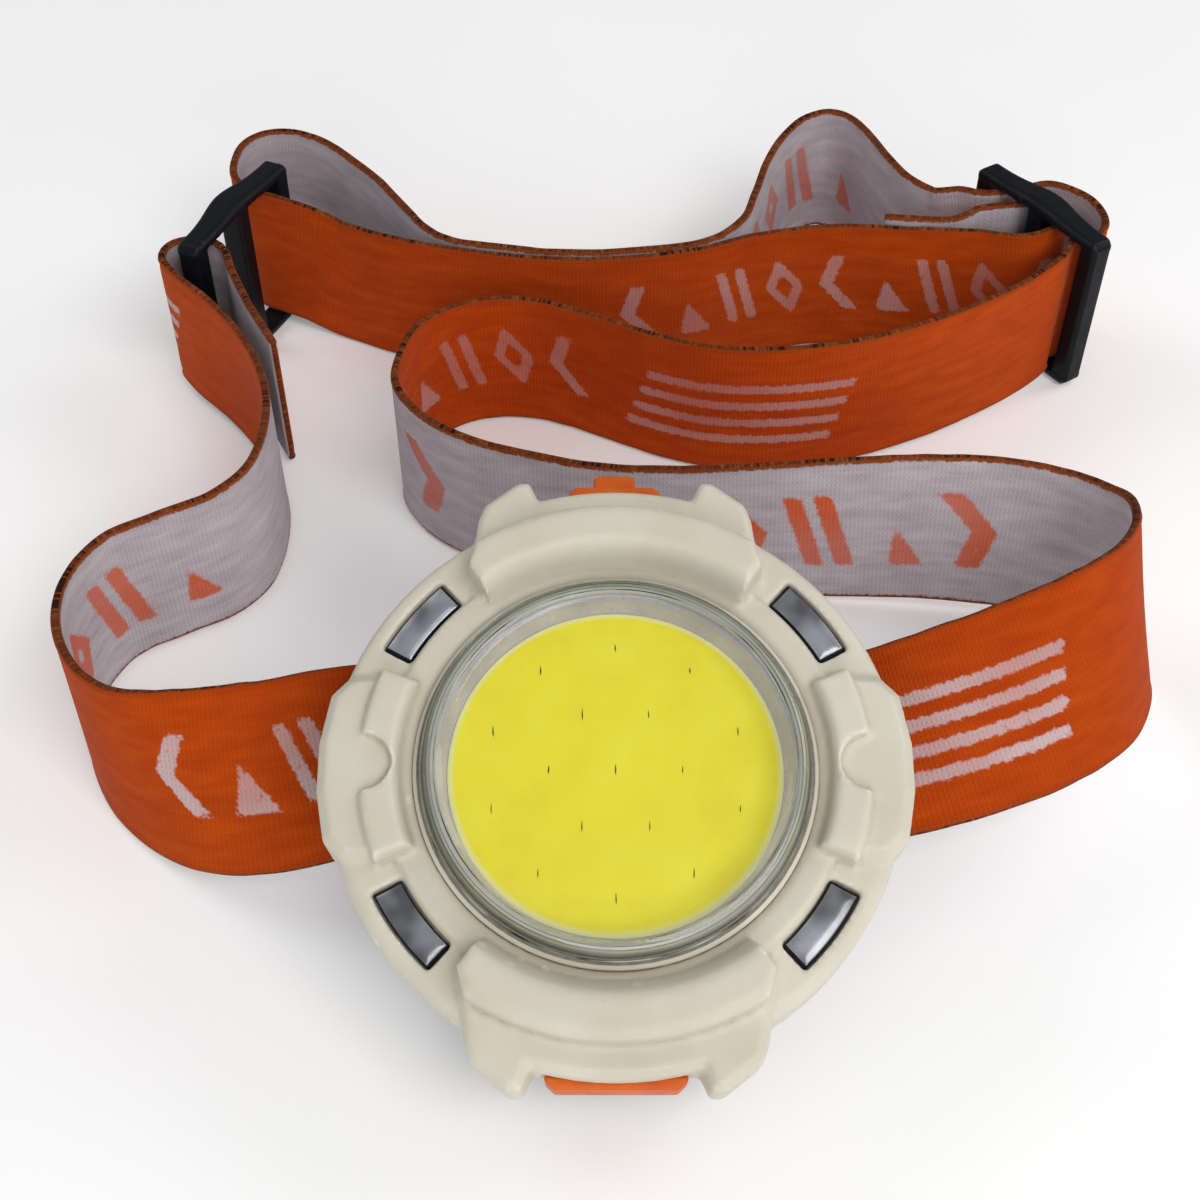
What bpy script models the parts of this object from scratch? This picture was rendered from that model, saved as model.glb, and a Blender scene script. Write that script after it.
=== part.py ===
"""A headlamp with a round flood light, a tilt bracket and a webbing head strap, lying on a table.

The lamp's own frame has u to its right, v up its face and w out of its face, in millimetres.
The strap is one ribbon that runs through the bracket and both sliders.
"""

import math

import bpy
import numpy as np
from mathutils import Matrix, Vector

MM = 0.001

# Where the lamp lies: its face leans back, and this point is the centre of its front ring.
LAMP_LEAN_DEG = 22.0
LAMP_CENTRE = (0.0, 1.5, 31.3)
# Moves the whole object so that its box is centred over the origin.
TABLE_SHIFT = (-4.0, -64.3, 0.2)

RING_SEGMENTS = 72
RING_OUTER_R = 34.1
BORE_R = 23.7
BAND_R = 27.2
RING_BACK_W = -9.0

LUG_HALF_DEG = 37.4
LUG_LOW_W = 1.4
LUG_HIGH_W = 5.4
LUG_STEP_R = 32.0
NOTCH_R = 35.6

SIDE_TIER_R = 30.0
SIDE_TIER_DEG = 23.3
SIDE_REACH = 35.0
SIDE_DISC_U = 29.5
SIDE_DISC_R = 3.4

INSERT_R = (28.0, 31.6)
INSERT_DEG = 38.0
INSERT_HALF_DEG = 9.7

LENS_R = 22.9
PHOSPHOR_R = 19.9

HINGE_V = -26.0
HINGE_W = -19.6
PIN_R = 1.0
BUTTON_PIVOT = (0.0, 38.2, -6.0)
COVER_PIVOT = (0.0, -34.6, -9.2)
PIN_CLEARANCE = 0.07

SCREW_R = 29.6
SCREW_ANGLES = (45, 135, 225, 315)

PLATE_W = (-21.2, -19.2)
SLOT_U = (13.5, 18.7)
STRAP_V = 7.5

STRAP_WIDTH = 25.0
STRAP_THICK = 1.2

SLIDER_LENGTH = 29.0
SLIDER_HEIGHT = 29.0
SLIDER_THICK = 4.0


def clear_scene():
    for obj in list(bpy.data.objects):
        bpy.data.objects.remove(obj, do_unlink=True)


def material(name, color, roughness, metallic=0.0, alpha=1.0):
    mat = bpy.data.materials.new(name)
    mat.use_nodes = True
    shader = mat.node_tree.nodes["Principled BSDF"]
    shader.inputs["Base Color"].default_value = (*color, 1.0)
    shader.inputs["Roughness"].default_value = roughness
    shader.inputs["Metallic"].default_value = metallic
    shader.inputs["Alpha"].default_value = alpha
    return mat


class Frame:
    """An empty that pieces are parented to, in the millimetre coordinates they are drawn in.

    pivot is the point of those coordinates that the empty sits on.
    """

    def __init__(self, name, parent=None, location=(0, 0, 0), turn=None, pivot=(0, 0, 0)):
        self.empty = bpy.data.objects.new(name, None)
        bpy.context.scene.collection.objects.link(self.empty)
        if parent:
            self.empty.parent = parent.empty
        self.empty.location = Vector(location) * MM
        if turn:
            self.empty.rotation_euler = turn.to_euler()
        self.pivot = Vector(pivot)

    def moving(self, name, pivot):
        """A frame with the same coordinates whose empty sits on a joint at another point."""
        return Frame(name, self, Vector(pivot) - self.pivot, None, pivot)


def lamp_turn():
    return Matrix.Rotation(math.radians(LAMP_LEAN_DEG), 3, "X")


def lamp_point(u, v, w):
    """A lamp point in the table's coordinates."""
    return Vector(LAMP_CENTRE) + lamp_turn() @ Vector((u, v, w))


def new_object(name, points, faces, frame, mat):
    """A mesh object under its frame's empty."""
    mesh = bpy.data.meshes.new(name)
    mesh.from_pydata([(Vector(p) - frame.pivot) * MM for p in points], [], faces)
    mesh.validate()
    obj = bpy.data.objects.new(name, mesh)
    bpy.context.scene.collection.objects.link(obj)
    obj.parent = frame.empty
    if mat:
        mesh.materials.append(mat)
    return obj


def stack(name, layers, frame, mat=None):
    """A closed solid through outlines of equal length, from the lowest w to the highest."""
    count = len(layers[0][0])
    points = [(u, v, w) for outline, w in layers for u, v in outline]
    faces = [tuple(reversed(range(count)))]
    for low in range(len(layers) - 1):
        for i in range(count):
            j = (i + 1) % count
            a, b = low * count + i, low * count + j
            faces.append((a, b, b + count, a + count))
    top = (len(layers) - 1) * count
    faces.append(tuple(range(top, top + count)))
    return new_object(name, points, faces, frame, mat)


def lathe(name, profile, frame, mat=None, segments=RING_SEGMENTS):
    """A ring: a closed profile of (radius, w), counterclockwise, turned about the w axis."""
    count = len(profile)
    points = []
    for s in range(segments):
        turn = 2 * math.pi * s / segments
        points += [(r * math.cos(turn), r * math.sin(turn), w) for r, w in profile]
    faces = []
    for s in range(segments):
        after = (s + 1) % segments
        for i in range(count):
            j = (i + 1) % count
            faces.append((s * count + i, after * count + i, after * count + j, s * count + j))
    return new_object(name, points, faces, frame, mat)


def circle(radius, count=RING_SEGMENTS, centre=(0.0, 0.0)):
    return [
        (
            centre[0] + radius * math.cos(2 * math.pi * i / count),
            centre[1] + radius * math.sin(2 * math.pi * i / count),
        )
        for i in range(count)
    ]


def arc(radius, start_deg, end_deg, steps):
    turns = [math.radians(start_deg + (end_deg - start_deg) * i / steps) for i in range(steps + 1)]
    return [(radius * math.cos(t), radius * math.sin(t)) for t in turns]


def disc(name, rings, frame, mat=None, centre=(0.0, 0.0), count=RING_SEGMENTS):
    """A round solid through (radius, w) rings."""
    return stack(name, [(circle(r, count, centre), w) for r, w in rings], frame, mat)


def inset(outline, distance):
    """The counterclockwise outline moved inwards by a distance."""
    moved = []
    for i, point in enumerate(outline):
        here = Vector(point)
        before = (here - Vector(outline[i - 1])).normalized()
        after = (Vector(outline[(i + 1) % len(outline)]) - here).normalized()
        normal = Vector((-before.y, before.x)) + Vector((-after.y, after.x))
        normal.normalize()
        reach = distance / max(0.5, normal.dot(Vector((-before.y, before.x))))
        moved.append(tuple(here + normal * reach))
    return moved


def block(name, low, high, frame, mat=None, chamfer=0.0):
    """A box from its low corner to its high corner, with its w edges and top chamfered."""
    (u0, v0, w0), (u1, v1, w1) = low, high
    c = chamfer
    outline = [(u0, v0), (u1, v0), (u1, v1), (u0, v1)]
    if c:
        outline = [
            (u0 + c, v0), (u1 - c, v0), (u1, v0 + c), (u1, v1 - c),
            (u1 - c, v1), (u0 + c, v1), (u0, v1 - c), (u0, v0 + c),
        ]
        rim = inset(outline, c * 0.6)
        layers = [(rim, w0), (outline, w0 + c * 0.6), (outline, w1 - c * 0.6), (rim, w1)]
    else:
        layers = [(outline, w0), (outline, w1)]
    return stack(name, layers, frame, mat)


def boolean(obj, tool, operation):
    modifier = obj.modifiers.new(operation.lower() + "_" + tool.name, "BOOLEAN")
    modifier.operation = operation
    modifier.solver = "EXACT"
    modifier.object = tool
    tool.hide_render = True
    tool.display_type = "WIRE"


def add_all(obj, tools):
    for tool in tools:
        boolean(obj, tool, "UNION")


def cut_all(obj, tools):
    for tool in tools:
        boolean(obj, tool, "DIFFERENCE")


def mirror_u(outline):
    return [(-u, v) for u, v in reversed(outline)]


def flip_v(outline):
    return [(u, -v) for u, v in reversed(outline)]


# Bezel ---------------------------------------------------------------------------------


def low_lug_outline():
    """The top lug's rear tier, counterclockwise, with an ear at each side of its notch."""
    right = [(15.3, 19.8), (18.0, 23.6), (16.9, 31.8), (16.2, 33.7), (12.1, 36.8), (10.6, 36.8), (9.5, 34.3)]
    notch = arc(NOTCH_R, 90 - 14.6, 90 + 14.6, 8)
    inner = arc(25.3, 90 + LUG_HALF_DEG - 4, 90 - LUG_HALF_DEG + 4, 12)
    return right + notch + mirror_u(right) + inner


def high_lug_outline(inner_r, outer_r, side):
    """The top lug's front tier between two radii, drawn in at its sides."""
    half = LUG_HALF_DEG - math.degrees(side / 27.0)
    edge = math.radians(90 - half)
    corner = (29.7 * math.cos(edge), 29.7 * math.sin(edge))
    reach = math.degrees(math.asin((17.2 - side) / outer_r))
    outer = arc(outer_r, 90 - reach, 90 + reach, 12)
    inner = arc(inner_r, 90 + half, 90 - half, 12)
    return [corner] + outer + [(-corner[0], corner[1])] + inner


def lug(prefix, flip, frame):
    turn = flip_v if flip else (lambda outline: outline)
    low = low_lug_outline()
    back = RING_BACK_W + 0.2
    low_layers = [(inset(low, 0.6), back), (low, back + 0.6), (low, LUG_LOW_W - 0.9), (inset(low, 0.8), LUG_LOW_W)]
    high_layers = [
        (high_lug_outline(24.9, LUG_STEP_R, 0.3), -1.0),
        (high_lug_outline(25.0, LUG_STEP_R, 0.3), 1.1),
        (high_lug_outline(26.3, LUG_STEP_R, 0.4), 4.1),
        (high_lug_outline(26.9, LUG_STEP_R - 0.3, 0.5), 5.0),
        (high_lug_outline(27.7, LUG_STEP_R - 1.1, 1.2), LUG_HIGH_W),
    ]
    return [
        stack(prefix + "_low", [(turn(o), w) for o, w in low_layers], frame),
        stack(prefix + "_high", [(turn(o), w) for o, w in high_layers], frame),
    ]


def side_lug(prefix, flip, frame):
    turn = mirror_u if flip else (lambda outline: outline)
    half = [(27.6, 11.6), (25.0, 9.0)]
    low = [(25.0, -9.0), (27.6, -11.6), (31.6, -11.2), (33.9, -8.9), (SIDE_REACH, -3.0)]
    low += [(SIDE_REACH, 3.0), (33.9, 8.9), (31.6, 11.2)] + half
    back = RING_BACK_W + 0.2
    low_layers = [(inset(low, 0.6), back), (low, back + 0.6), (low, 0.2), (inset(low, 1.2), 1.6)]
    a = SIDE_TIER_DEG

    def tier(inner_r, outer_r, spread):
        return arc(outer_r, -a + spread, a - spread, 10) + arc(inner_r, a - spread, -a + spread, 10)

    high_layers = [
        (tier(24.9, SIDE_TIER_R, 0.0), -1.0),
        (tier(25.0, SIDE_TIER_R, 0.0), 1.1),
        (tier(25.4, SIDE_TIER_R, 0.3), 2.4),
        (tier(26.1, SIDE_TIER_R - 0.5, 1.4), 3.2),
    ]
    bite = disc(prefix + "_bite", [(SIDE_DISC_R, 1.6), (SIDE_DISC_R, 6.0)], frame, centre=((-1 if flip else 1) * SIDE_DISC_U, 0.0), count=32)
    high = stack(prefix + "_high", [(turn(o), w) for o, w in high_layers], frame)
    boolean(high, bite, "DIFFERENCE")
    return [stack(prefix + "_low", [(turn(o), w) for o, w in low_layers], frame), high]


def insert_outline(angle_deg, margin):
    inner, outer = INSERT_R[0] - margin, INSERT_R[1] + margin
    half = INSERT_HALF_DEG + math.degrees(margin / 30.0)
    return arc(outer, angle_deg - half, angle_deg + half, 6) + arc(inner, angle_deg + half, angle_deg - half, 6)


INSERTS = {
    "insert_upper_right": INSERT_DEG,
    "insert_upper_left": 180 - INSERT_DEG,
    "insert_lower_left": 180 + INSERT_DEG,
    "insert_lower_right": -INSERT_DEG,
}


def build_bezel(frame, mat):
    ring = [
        (BORE_R, RING_BACK_W), (RING_OUTER_R - 0.6, RING_BACK_W), (RING_OUTER_R, RING_BACK_W + 0.6),
        (RING_OUTER_R, -1.3), (RING_OUTER_R - 0.5, -0.3), (RING_OUTER_R - 1.3, 0.0),
        (BAND_R + 0.5, 0.0), (BAND_R, 0.8), (24.4, 0.8), (BORE_R, 0.2),
    ]
    bezel = lathe("bezel", ring, frame, mat)
    add_all(bezel, lug("lug_top", False, frame) + lug("lug_bottom", True, frame))
    add_all(bezel, side_lug("lug_right", False, frame) + side_lug("lug_left", True, frame))
    cutters = [
        stack("pocket_" + name, [(insert_outline(angle, 0.25), -1.6), (insert_outline(angle, 0.25), 2.0)], frame)
        for name, angle in INSERTS.items()
    ]
    cutters += [
        block("button_recess", (-6.1, 33.0, -10.0), (6.1, 45.0, -2.7), frame),
        block("button_pocket", (-2.6, 27.0, -8.4), (2.6, 34.0, -3.6), frame),
        block("cover_recess", (-8.5, -45.0, -10.0), (8.5, -34.3, -3.2), frame),
        block("socket_pocket", (-4.9, -35.0, -8.0), (4.9, -26.0, -4.0), frame),
    ]
    for angle in SCREW_ANGLES:
        centre = (SCREW_R * math.cos(math.radians(angle)), SCREW_R * math.sin(math.radians(angle)))
        cutters.append(disc(f"screw_bore_{angle}", [(1.1, -10.0), (1.1, -4.4)], frame, centre=centre, count=24))
    cut_all(bezel, cutters)
    return bezel


# Light and electronics -----------------------------------------------------------------


def build_light(frame, mats):
    disc("lens", [(21.9, 1.5), (LENS_R, 2.1), (LENS_R, 3.3), (22.5, 3.8), (21.7, 4.0)], frame, mats["glass"])
    seal = [(21.0, 0.0), (23.3, 0.0), (23.3, 1.2), (21.0, 1.2)]
    lathe("lens_seal", seal, frame, mats["seal"])
    reflector = [(20.4, -1.6), (21.3, -1.6), (23.3, -0.6), (23.3, -0.3), (22.4, -0.3), (20.4, -1.2)]
    lathe("reflector_ring", reflector, frame, mats["reflector"])
    disc("cob_phosphor", [(PHOSPHOR_R, -1.7), (PHOSPHOR_R, -1.1), (PHOSPHOR_R - 0.3, -0.9)], frame, mats["phosphor"])
    disc("cob_base_plate", [(22.8, -3.1), (22.8, -2.0)], frame, mats["board"])
    disc("heat_sink_plate", [(23.2, -5.0), (23.2, -3.4)], frame, mats["aluminium"])
    for name, angle in INSERTS.items():
        flat, rim = insert_outline(angle, 0.0), insert_outline(angle, -0.3)
        stack(name, [(flat, -1.3), (flat, -0.6), (rim, -0.3)], frame, mats["insert"])


def build_electronics(frame, mats):
    disc("circuit_board", [(22.0, -7.4), (22.0, -6.2)], frame, mats["circuit"], count=48)
    block("battery", (-17.5, -12.5, -14.2), (17.5, 12.5, -8.8), frame, mats["battery"], chamfer=1.2)
    block("tactile_switch", (-2.2, 27.3, -8.0), (2.2, 29.4, -4.0), frame, mats["switch"], chamfer=0.3)
    socket = block("usb_socket", (-4.6, -33.6, -7.7), (4.6, -26.4, -4.3), frame, mats["steel"])
    mouth = block("socket_mouth", (-4.1, -36.0, -7.2), (4.1, -28.0, -4.8), frame)
    tongue = block("socket_tongue", (-3.2, -33.0, -6.3), (3.2, -27.0, -5.7), frame)
    cut_all(socket, [mouth])
    add_all(socket, [tongue])
    wires = {
        "battery_wire_red": (mats["wire_red"], [(8.0, 15.0, -8.0), (8.0, 15.6, -9.6), (5.0, 15.4, -11.2), (2.5, 13.4, -11.4)]),
        "battery_wire_black": (mats["wire_black"], [(-8.0, 15.0, -8.0), (-8.0, 15.6, -9.6), (-5.0, 15.4, -11.2), (-2.5, 13.4, -11.4)]),
    }
    for name, (mat, route) in wires.items():
        tube(name, route, 0.45, frame, mat)


def tube(name, route, radius, frame, mat, sides=8):
    """A round wire along a smooth curve through a route."""
    path = smooth(np.array([(*p, 0.0) for p in route]), 5)[:, :3]
    along = np.gradient(path, axis=0)
    along /= np.linalg.norm(along, axis=1)[:, None]
    side = np.cross(along, (0.3, 1.0, 0.2))
    side /= np.linalg.norm(side, axis=1)[:, None]
    up = np.cross(side, along)
    turns = np.linspace(0, 2 * np.pi, sides, endpoint=False)
    points = [path[i] + radius * (side[i] * np.cos(t) + up[i] * np.sin(t)) for i in range(len(path)) for t in turns]
    faces = [tuple(range(sides)), tuple(reversed(range(len(points) - sides, len(points))))]
    for i in range(len(path) - 1):
        for k in range(sides):
            n = (k + 1) % sides
            faces.append((i * sides + n, i * sides + k, (i + 1) * sides + k, (i + 1) * sides + n))
    return new_object(name, [tuple(p) for p in points], faces, frame, mat)


# Controls ------------------------------------------------------------------------------


def build_button(frame, mat):
    button = block("power_button", (-5.8, 34.3, -8.9), (5.8, 38.2, -3.1), frame, mat, chamfer=0.8)
    cap = block("button_cap", (-2.7, 37.5, -8.0), (2.7, 40.2, -4.0), frame, chamfer=0.6)
    stem = block("button_stem", (-2.1, 30.6, -7.9), (2.1, 35.0, -4.1), frame)
    add_all(button, [cap, stem])


def build_cover(frame, mat):
    """The charging port's cover: it bends open at its rear edge."""
    wedge = [(-8.1, -34.6), (-8.1, -35.2), (-7.0, -36.2), (7.0, -36.2), (8.1, -35.2), (8.1, -34.6)]
    layers = [(wedge, -9.2), (wedge, -3.9), (inset(wedge, 0.3), -3.5)]
    cover = stack("port_cover", layers, frame, mat)
    lip = block("cover_lip", (-4.3, -35.0, -7.4), (4.3, -33.9, -4.6), frame)
    add_all(cover, [lip])


# Housing, bracket and hinge ------------------------------------------------------------


def hinge_profile(frame, name, outline, low_u, high_u, mat=None):
    """A solid with its outline in (v, w), extruded along u."""
    count = len(outline)
    points = [(u, v, w) for u in (low_u, high_u) for v, w in outline]
    faces = [tuple(reversed(range(count))), tuple(range(count, 2 * count))]
    for i in range(count):
        j = (i + 1) % count
        faces.append((i, j, j + count, i + count))
    return new_object(name, points, faces, frame, mat)


def hinge_round(frame, name, radius, low_u, high_u, mat=None, count=32):
    return hinge_profile(frame, name, circle(radius, count, (HINGE_V, HINGE_W)), low_u, high_u, mat)


def build_housing(frame, mats):
    cup = [
        (32.3, -9.6), (32.3, -10.6), (31.9, -11.0), (26.6, -11.2), (25.6, -15.6), (24.4, -16.8), (0.0, -16.8),
    ]
    outer = [(r, w) for r, w in reversed(cup) if r > 0]
    housing = disc("rear_housing", outer, frame, mats["dark_plastic"])
    cavity = disc("housing_cavity", [(22.6, -15.0), (23.4, -14.0), (23.4, -9.0)], frame)
    ears = []
    for name, low_u, high_u in (("ear_left", -9.4, -6.4), ("ear_right", 6.4, 9.4)):
        web = [(-28.4, -18.4), (HINGE_V, HINGE_W - 2.6), (-24.4, -21.8), (-22.0, -18.9), (-15.0, -16.0), (-25.4, -14.0)]
        ears.append(hinge_profile(frame, name + "_web", web, low_u, high_u))
        ears.append(hinge_round(frame, name, 2.7, low_u, high_u))
    add_all(housing, ears)
    groove = lathe("seal_groove", [(24.4, -10.4), (26.2, -10.4), (26.2, -9.0), (24.4, -9.0)], frame)
    cutters = [cavity, groove, hinge_round(frame, "ear_bore", PIN_R + PIN_CLEARANCE, -12.0, 12.0)]
    for angle in SCREW_ANGLES:
        centre = (SCREW_R * math.cos(math.radians(angle)), SCREW_R * math.sin(math.radians(angle)))
        cutters.append(disc(f"flange_hole_{angle}", [(1.2, -13.0), (1.2, -8.0)], frame, centre=centre, count=24))
    cut_all(housing, cutters)
    lathe("housing_seal", [(24.6, -10.2), (26.0, -10.2), (26.0, -9.3), (24.6, -9.3)], frame, mats["seal"])
    for number, angle in enumerate(SCREW_ANGLES, 1):
        centre = (SCREW_R * math.cos(math.radians(angle)), SCREW_R * math.sin(math.radians(angle)))
        rings = [(1.5, -12.7), (1.9, -12.3), (1.9, -11.3), (0.9, -11.3 + 0.001), (0.9, -5.2), (0.5, -4.8)]
        disc(f"screw_{number}", rings, frame, mats["steel"], centre=centre, count=24)


def build_bracket(frame, mats):
    corner = [(21.2, -3.0), (21.2, 16.5), (19.5, 20.5), (16.5, 22.6)]
    foot = [(9.0, -24.0), (10.5, -19.0), (14.0, -9.5)]
    plate = foot + corner + mirror_u(foot + corner)
    rim = inset(plate, 0.5)
    low, high = PLATE_W
    layers = [(rim, low), (plate, low + 0.5), (plate, high - 0.5), (rim, high)]
    bracket = stack("tilt_bracket", layers, frame, mats["dark_plastic"])
    web = [(-21.0, -21.2), (-21.0, -19.2), (HINGE_V + 0.5, HINGE_W + 2.5), (HINGE_V - 0.5, HINGE_W - 2.4)]
    add_all(bracket, [
        hinge_profile(frame, "knuckle_web", web, -5.0, 5.0),
        hinge_round(frame, "knuckle", 2.7, -5.0, 5.0),
    ])
    half = STRAP_WIDTH / 2 + 0.6
    slots = [
        block("slot_right", (SLOT_U[0], STRAP_V - half, -25.0), (SLOT_U[1], STRAP_V + half, -15.0), frame),
        block("slot_left", (-SLOT_U[1], STRAP_V - half, -25.0), (-SLOT_U[0], STRAP_V + half, -15.0), frame),
        block("ear_gap_right", (5.0, -35.0, -25.0), (12.0, -20.8, -15.0), frame),
        block("ear_gap_left", (-12.0, -35.0, -25.0), (-5.0, -20.8, -15.0), frame),
        hinge_round(frame, "knuckle_bore", PIN_R + PIN_CLEARANCE, -12.0, 12.0),
    ]
    cut_all(bracket, slots)
    pin = hinge_round(frame, "hinge_pin", PIN_R, -10.2, 10.2, mats["steel"])
    heads = [
        hinge_round(frame, "pin_head_left", 1.8, -10.8, -9.7),
        hinge_round(frame, "pin_head_right", 1.8, 9.7, 10.8),
    ]
    add_all(pin, heads)
    for name, low_u, high_u in (("hinge_washer_left", -6.1, -5.3), ("hinge_washer_right", 5.3, 6.1)):
        washer = hinge_round(frame, name, 2.4, low_u, high_u, mats["steel"])
        cut_all(washer, [hinge_round(frame, name + "_bore", PIN_R + PIN_CLEARANCE, low_u - 2, high_u + 2)])


# Strap and sliders ---------------------------------------------------------------------

# Each slider stands on edge. Its s axis runs along it, towards the lamp, and its o axis points
# away from the head space.
RIGHT_SLIDER = {"centre": (72.7, 123.8), "s": (0.540, -0.842), "o": (0.842, 0.540)}
LEFT_SLIDER = {"centre": (-63.5, 123.8), "s": (-0.396, -0.918), "o": (-0.918, 0.396)}
MID = 12.5
SLIDER_MID = 14.5


def at_slider(slider, s, o, z=SLIDER_MID):
    x = slider["centre"][0] + s * slider["s"][0] + o * slider["o"][0]
    y = slider["centre"][1] + s * slider["s"][1] + o * slider["o"][1]
    return (x, y, z, 0.0)


def at_lamp(u, w):
    """A strap station beside the bracket, level with its slots and leaning as the lamp does."""
    x, y, z = lamp_point(u, STRAP_V, w)
    return (x, y, z, 90.0 - LAMP_LEAN_DEG)


def strap_route():
    """Stations (x, y, z, lean) in mm and degrees from the sewn end to the free end.

    x, y, z is the middle of the webbing. A lean of 0 stands it on edge, and a positive lean
    tips its upper edge to the right of the way it runs.
    """
    r, l = RIGHT_SLIDER, LEFT_SLIDER

    def flat(points, z=MID):
        return [(x, y, z, 0.0) for x, y in points]

    route = flat([(46.5, 124.9), (52.5, 124.2), (58, 124.2)], 12.6) + [(63.2, 126.4, 13.5, 0.0)]
    route += [at_slider(r, -6.4, -4.6), at_slider(r, -4.7, -1.0), at_slider(r, -3.2, 2.6), at_slider(r, 0, 4.2)]
    route += [at_slider(r, 3.2, 2.4), at_slider(r, 3.9, -1.2), at_slider(r, 2.6, -6.0, 14.0), (61, 121.2, 13.0, 0.0)]
    route += flat([(51, 122.6), (39, 123.5), (25, 121), (13, 116.2), (-2, 113.8), (-18, 115), (-34, 119), (-47, 125)])
    route += [at_slider(l, -7.5, -9, 14.0), at_slider(l, -7.5, -3), at_slider(l, -7.8, 2), at_slider(l, -11, 7)]
    route += [at_slider(l, -19, 10.4), (-62.6, 150.2, 14.0, 0.0)]
    route += flat([(-57.5, 151.6), (-52, 149.6), (-46.6, 145.2), (-41, 138.4), (-35.3, 129.4), (-31, 122.8)])
    route += flat([(-26.5, 119.5), (-18, 117.6), (-8, 116), (7, 117), (16.5, 119.6), (22.3, 125.5), (25.2, 134.2)])
    route += flat([(28.2, 145), (31.9, 153.4), (36, 158.9), (40.2, 160.9), (43.8, 159.2), (46.6, 154.1)])
    route += flat([(49.5, 145.5), (52.8, 138.4), (57, 134.5)])
    route += [at_slider(r, -13.6, -4.7, 13.5), at_slider(r, -9.7, -2.5), at_slider(r, -8.1, 2.8), at_slider(r, -6.5, 8)]
    route += [at_slider(r, 0, 10.5), at_slider(r, 7, 8), at_slider(r, 9.4, 3.5), at_slider(r, 8.2, -0.5)]
    route += [at_slider(r, 10.4, -4.2), (69.5, 108.5, 13.0, 0.0)]
    route += flat([(62, 103.5), (51, 97), (39, 92), (29, 90), (17, 90), (7.6, 93), (-2, 98), (-11, 102), (-18, 103)])
    route += flat([(-25, 101), (-30.5, 96), (-33, 88.5), (-33, 81.5), (-29, 74.5), (-22, 69), (-13.5, 65.5), (-2, 62.5)])
    route += [
        (10, 61.2, 12.5, -3), (22, 60.8, 13, -6), (34, 60.8, 13.5, -9), (46, 60.5, 14, -12), (57, 59.4, 14, -14),
        (66, 56.4, 14.5, -10), (72, 50.5, 16.5, 0), (73, 44, 18.5, 8), (71.8, 37.5, 20.5, 18), (68.5, 31, 22.5, 28),
        (63, 25, 24, 40), (55, 20, 24, 50), (45, 16.5, 22.5, 57), (34, 15, 19.5, 65),
    ]
    threading = [(24, -17.9), (19.6, -18.0), (17.5, -18.8), (16.1, -20.2), (14.7, -21.6), (12.6, -22.4)]
    route += [at_lamp(u, w) for u, w in threading] + [at_lamp(0, -22.5)]
    route += [at_lamp(-u, w) for u, w in reversed(threading)]
    route += [
        (-34, 14.2, 17, 62), (-45, 12.5, 15.5, 50), (-55, 13, 14.2, 30), (-63, 16.3, 12.8, 13), (-69, 21.5, MID, 4),
    ]
    route += flat([(-73.5, 30), (-74.5, 39), (-71, 47.5), (-64, 52.3), (-57.2, 56.5), (-53, 62.5), (-51.8, 72)])
    route += [(-53.2, 81.6, MID, 0.0), (-57.5, 91.5, 13.0, 0.0), (-64.5, 101, 13.6, 0.0), (-70.6, 107.3, 14.0, 0.0)]
    route += flat([(-73.8, 112.2), (-72.5, 115.8)], SLIDER_MID) + [at_slider(l, 8, 1), at_slider(l, 8.7, -2.8)]
    route += [at_slider(l, 13, -7.3, 14.0)]
    route += flat([(-58.4, 101.5), (-55.6, 96.2), (-53.0, 91.2)], 13.0)
    return np.array(route, float)


def smooth(stations, steps):
    """A centripetal Catmull-Rom curve through every station, with so many steps between two."""
    ends = [2 * stations[0] - stations[1]], [2 * stations[-1] - stations[-2]]
    points = np.vstack([ends[0], stations, ends[1]])
    curve = []
    for i in range(1, len(points) - 2):
        p0, p1, p2, p3 = points[i - 1 : i + 3]
        t1 = np.linalg.norm((p1 - p0)[:3]) ** 0.5
        t2 = t1 + np.linalg.norm((p2 - p1)[:3]) ** 0.5
        t3 = t2 + np.linalg.norm((p3 - p2)[:3]) ** 0.5
        for step in range(steps):
            t = t1 + (t2 - t1) * step / steps
            a1 = p0 + (p1 - p0) * t / t1
            a2 = p1 + (p2 - p1) * (t - t1) / (t2 - t1)
            a3 = p2 + (p3 - p2) * (t - t2) / (t3 - t2)
            b1 = a1 + (a2 - a1) * t / t2
            b2 = a2 + (a3 - a2) * (t - t1) / (t3 - t1)
            curve.append(b1 + (b2 - b1) * (t - t1) / (t2 - t1))
    curve.append(points[-2])
    return np.array(curve)


def ribbon_frames(curve):
    """The way along, the way across the width and the way through the thickness, per station."""
    along = np.gradient(curve[:, :3], axis=0)
    along /= np.linalg.norm(along, axis=1)[:, None]
    upright = np.array([0, 0, 1.0]) - along * along[:, 2:3]
    upright /= np.linalg.norm(upright, axis=1)[:, None]
    right = np.cross(along, upright)
    lean = np.radians(curve[:, 3])[:, None]
    across = upright * np.cos(lean) + right * np.sin(lean)
    return along, across, np.cross(along, across)


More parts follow.
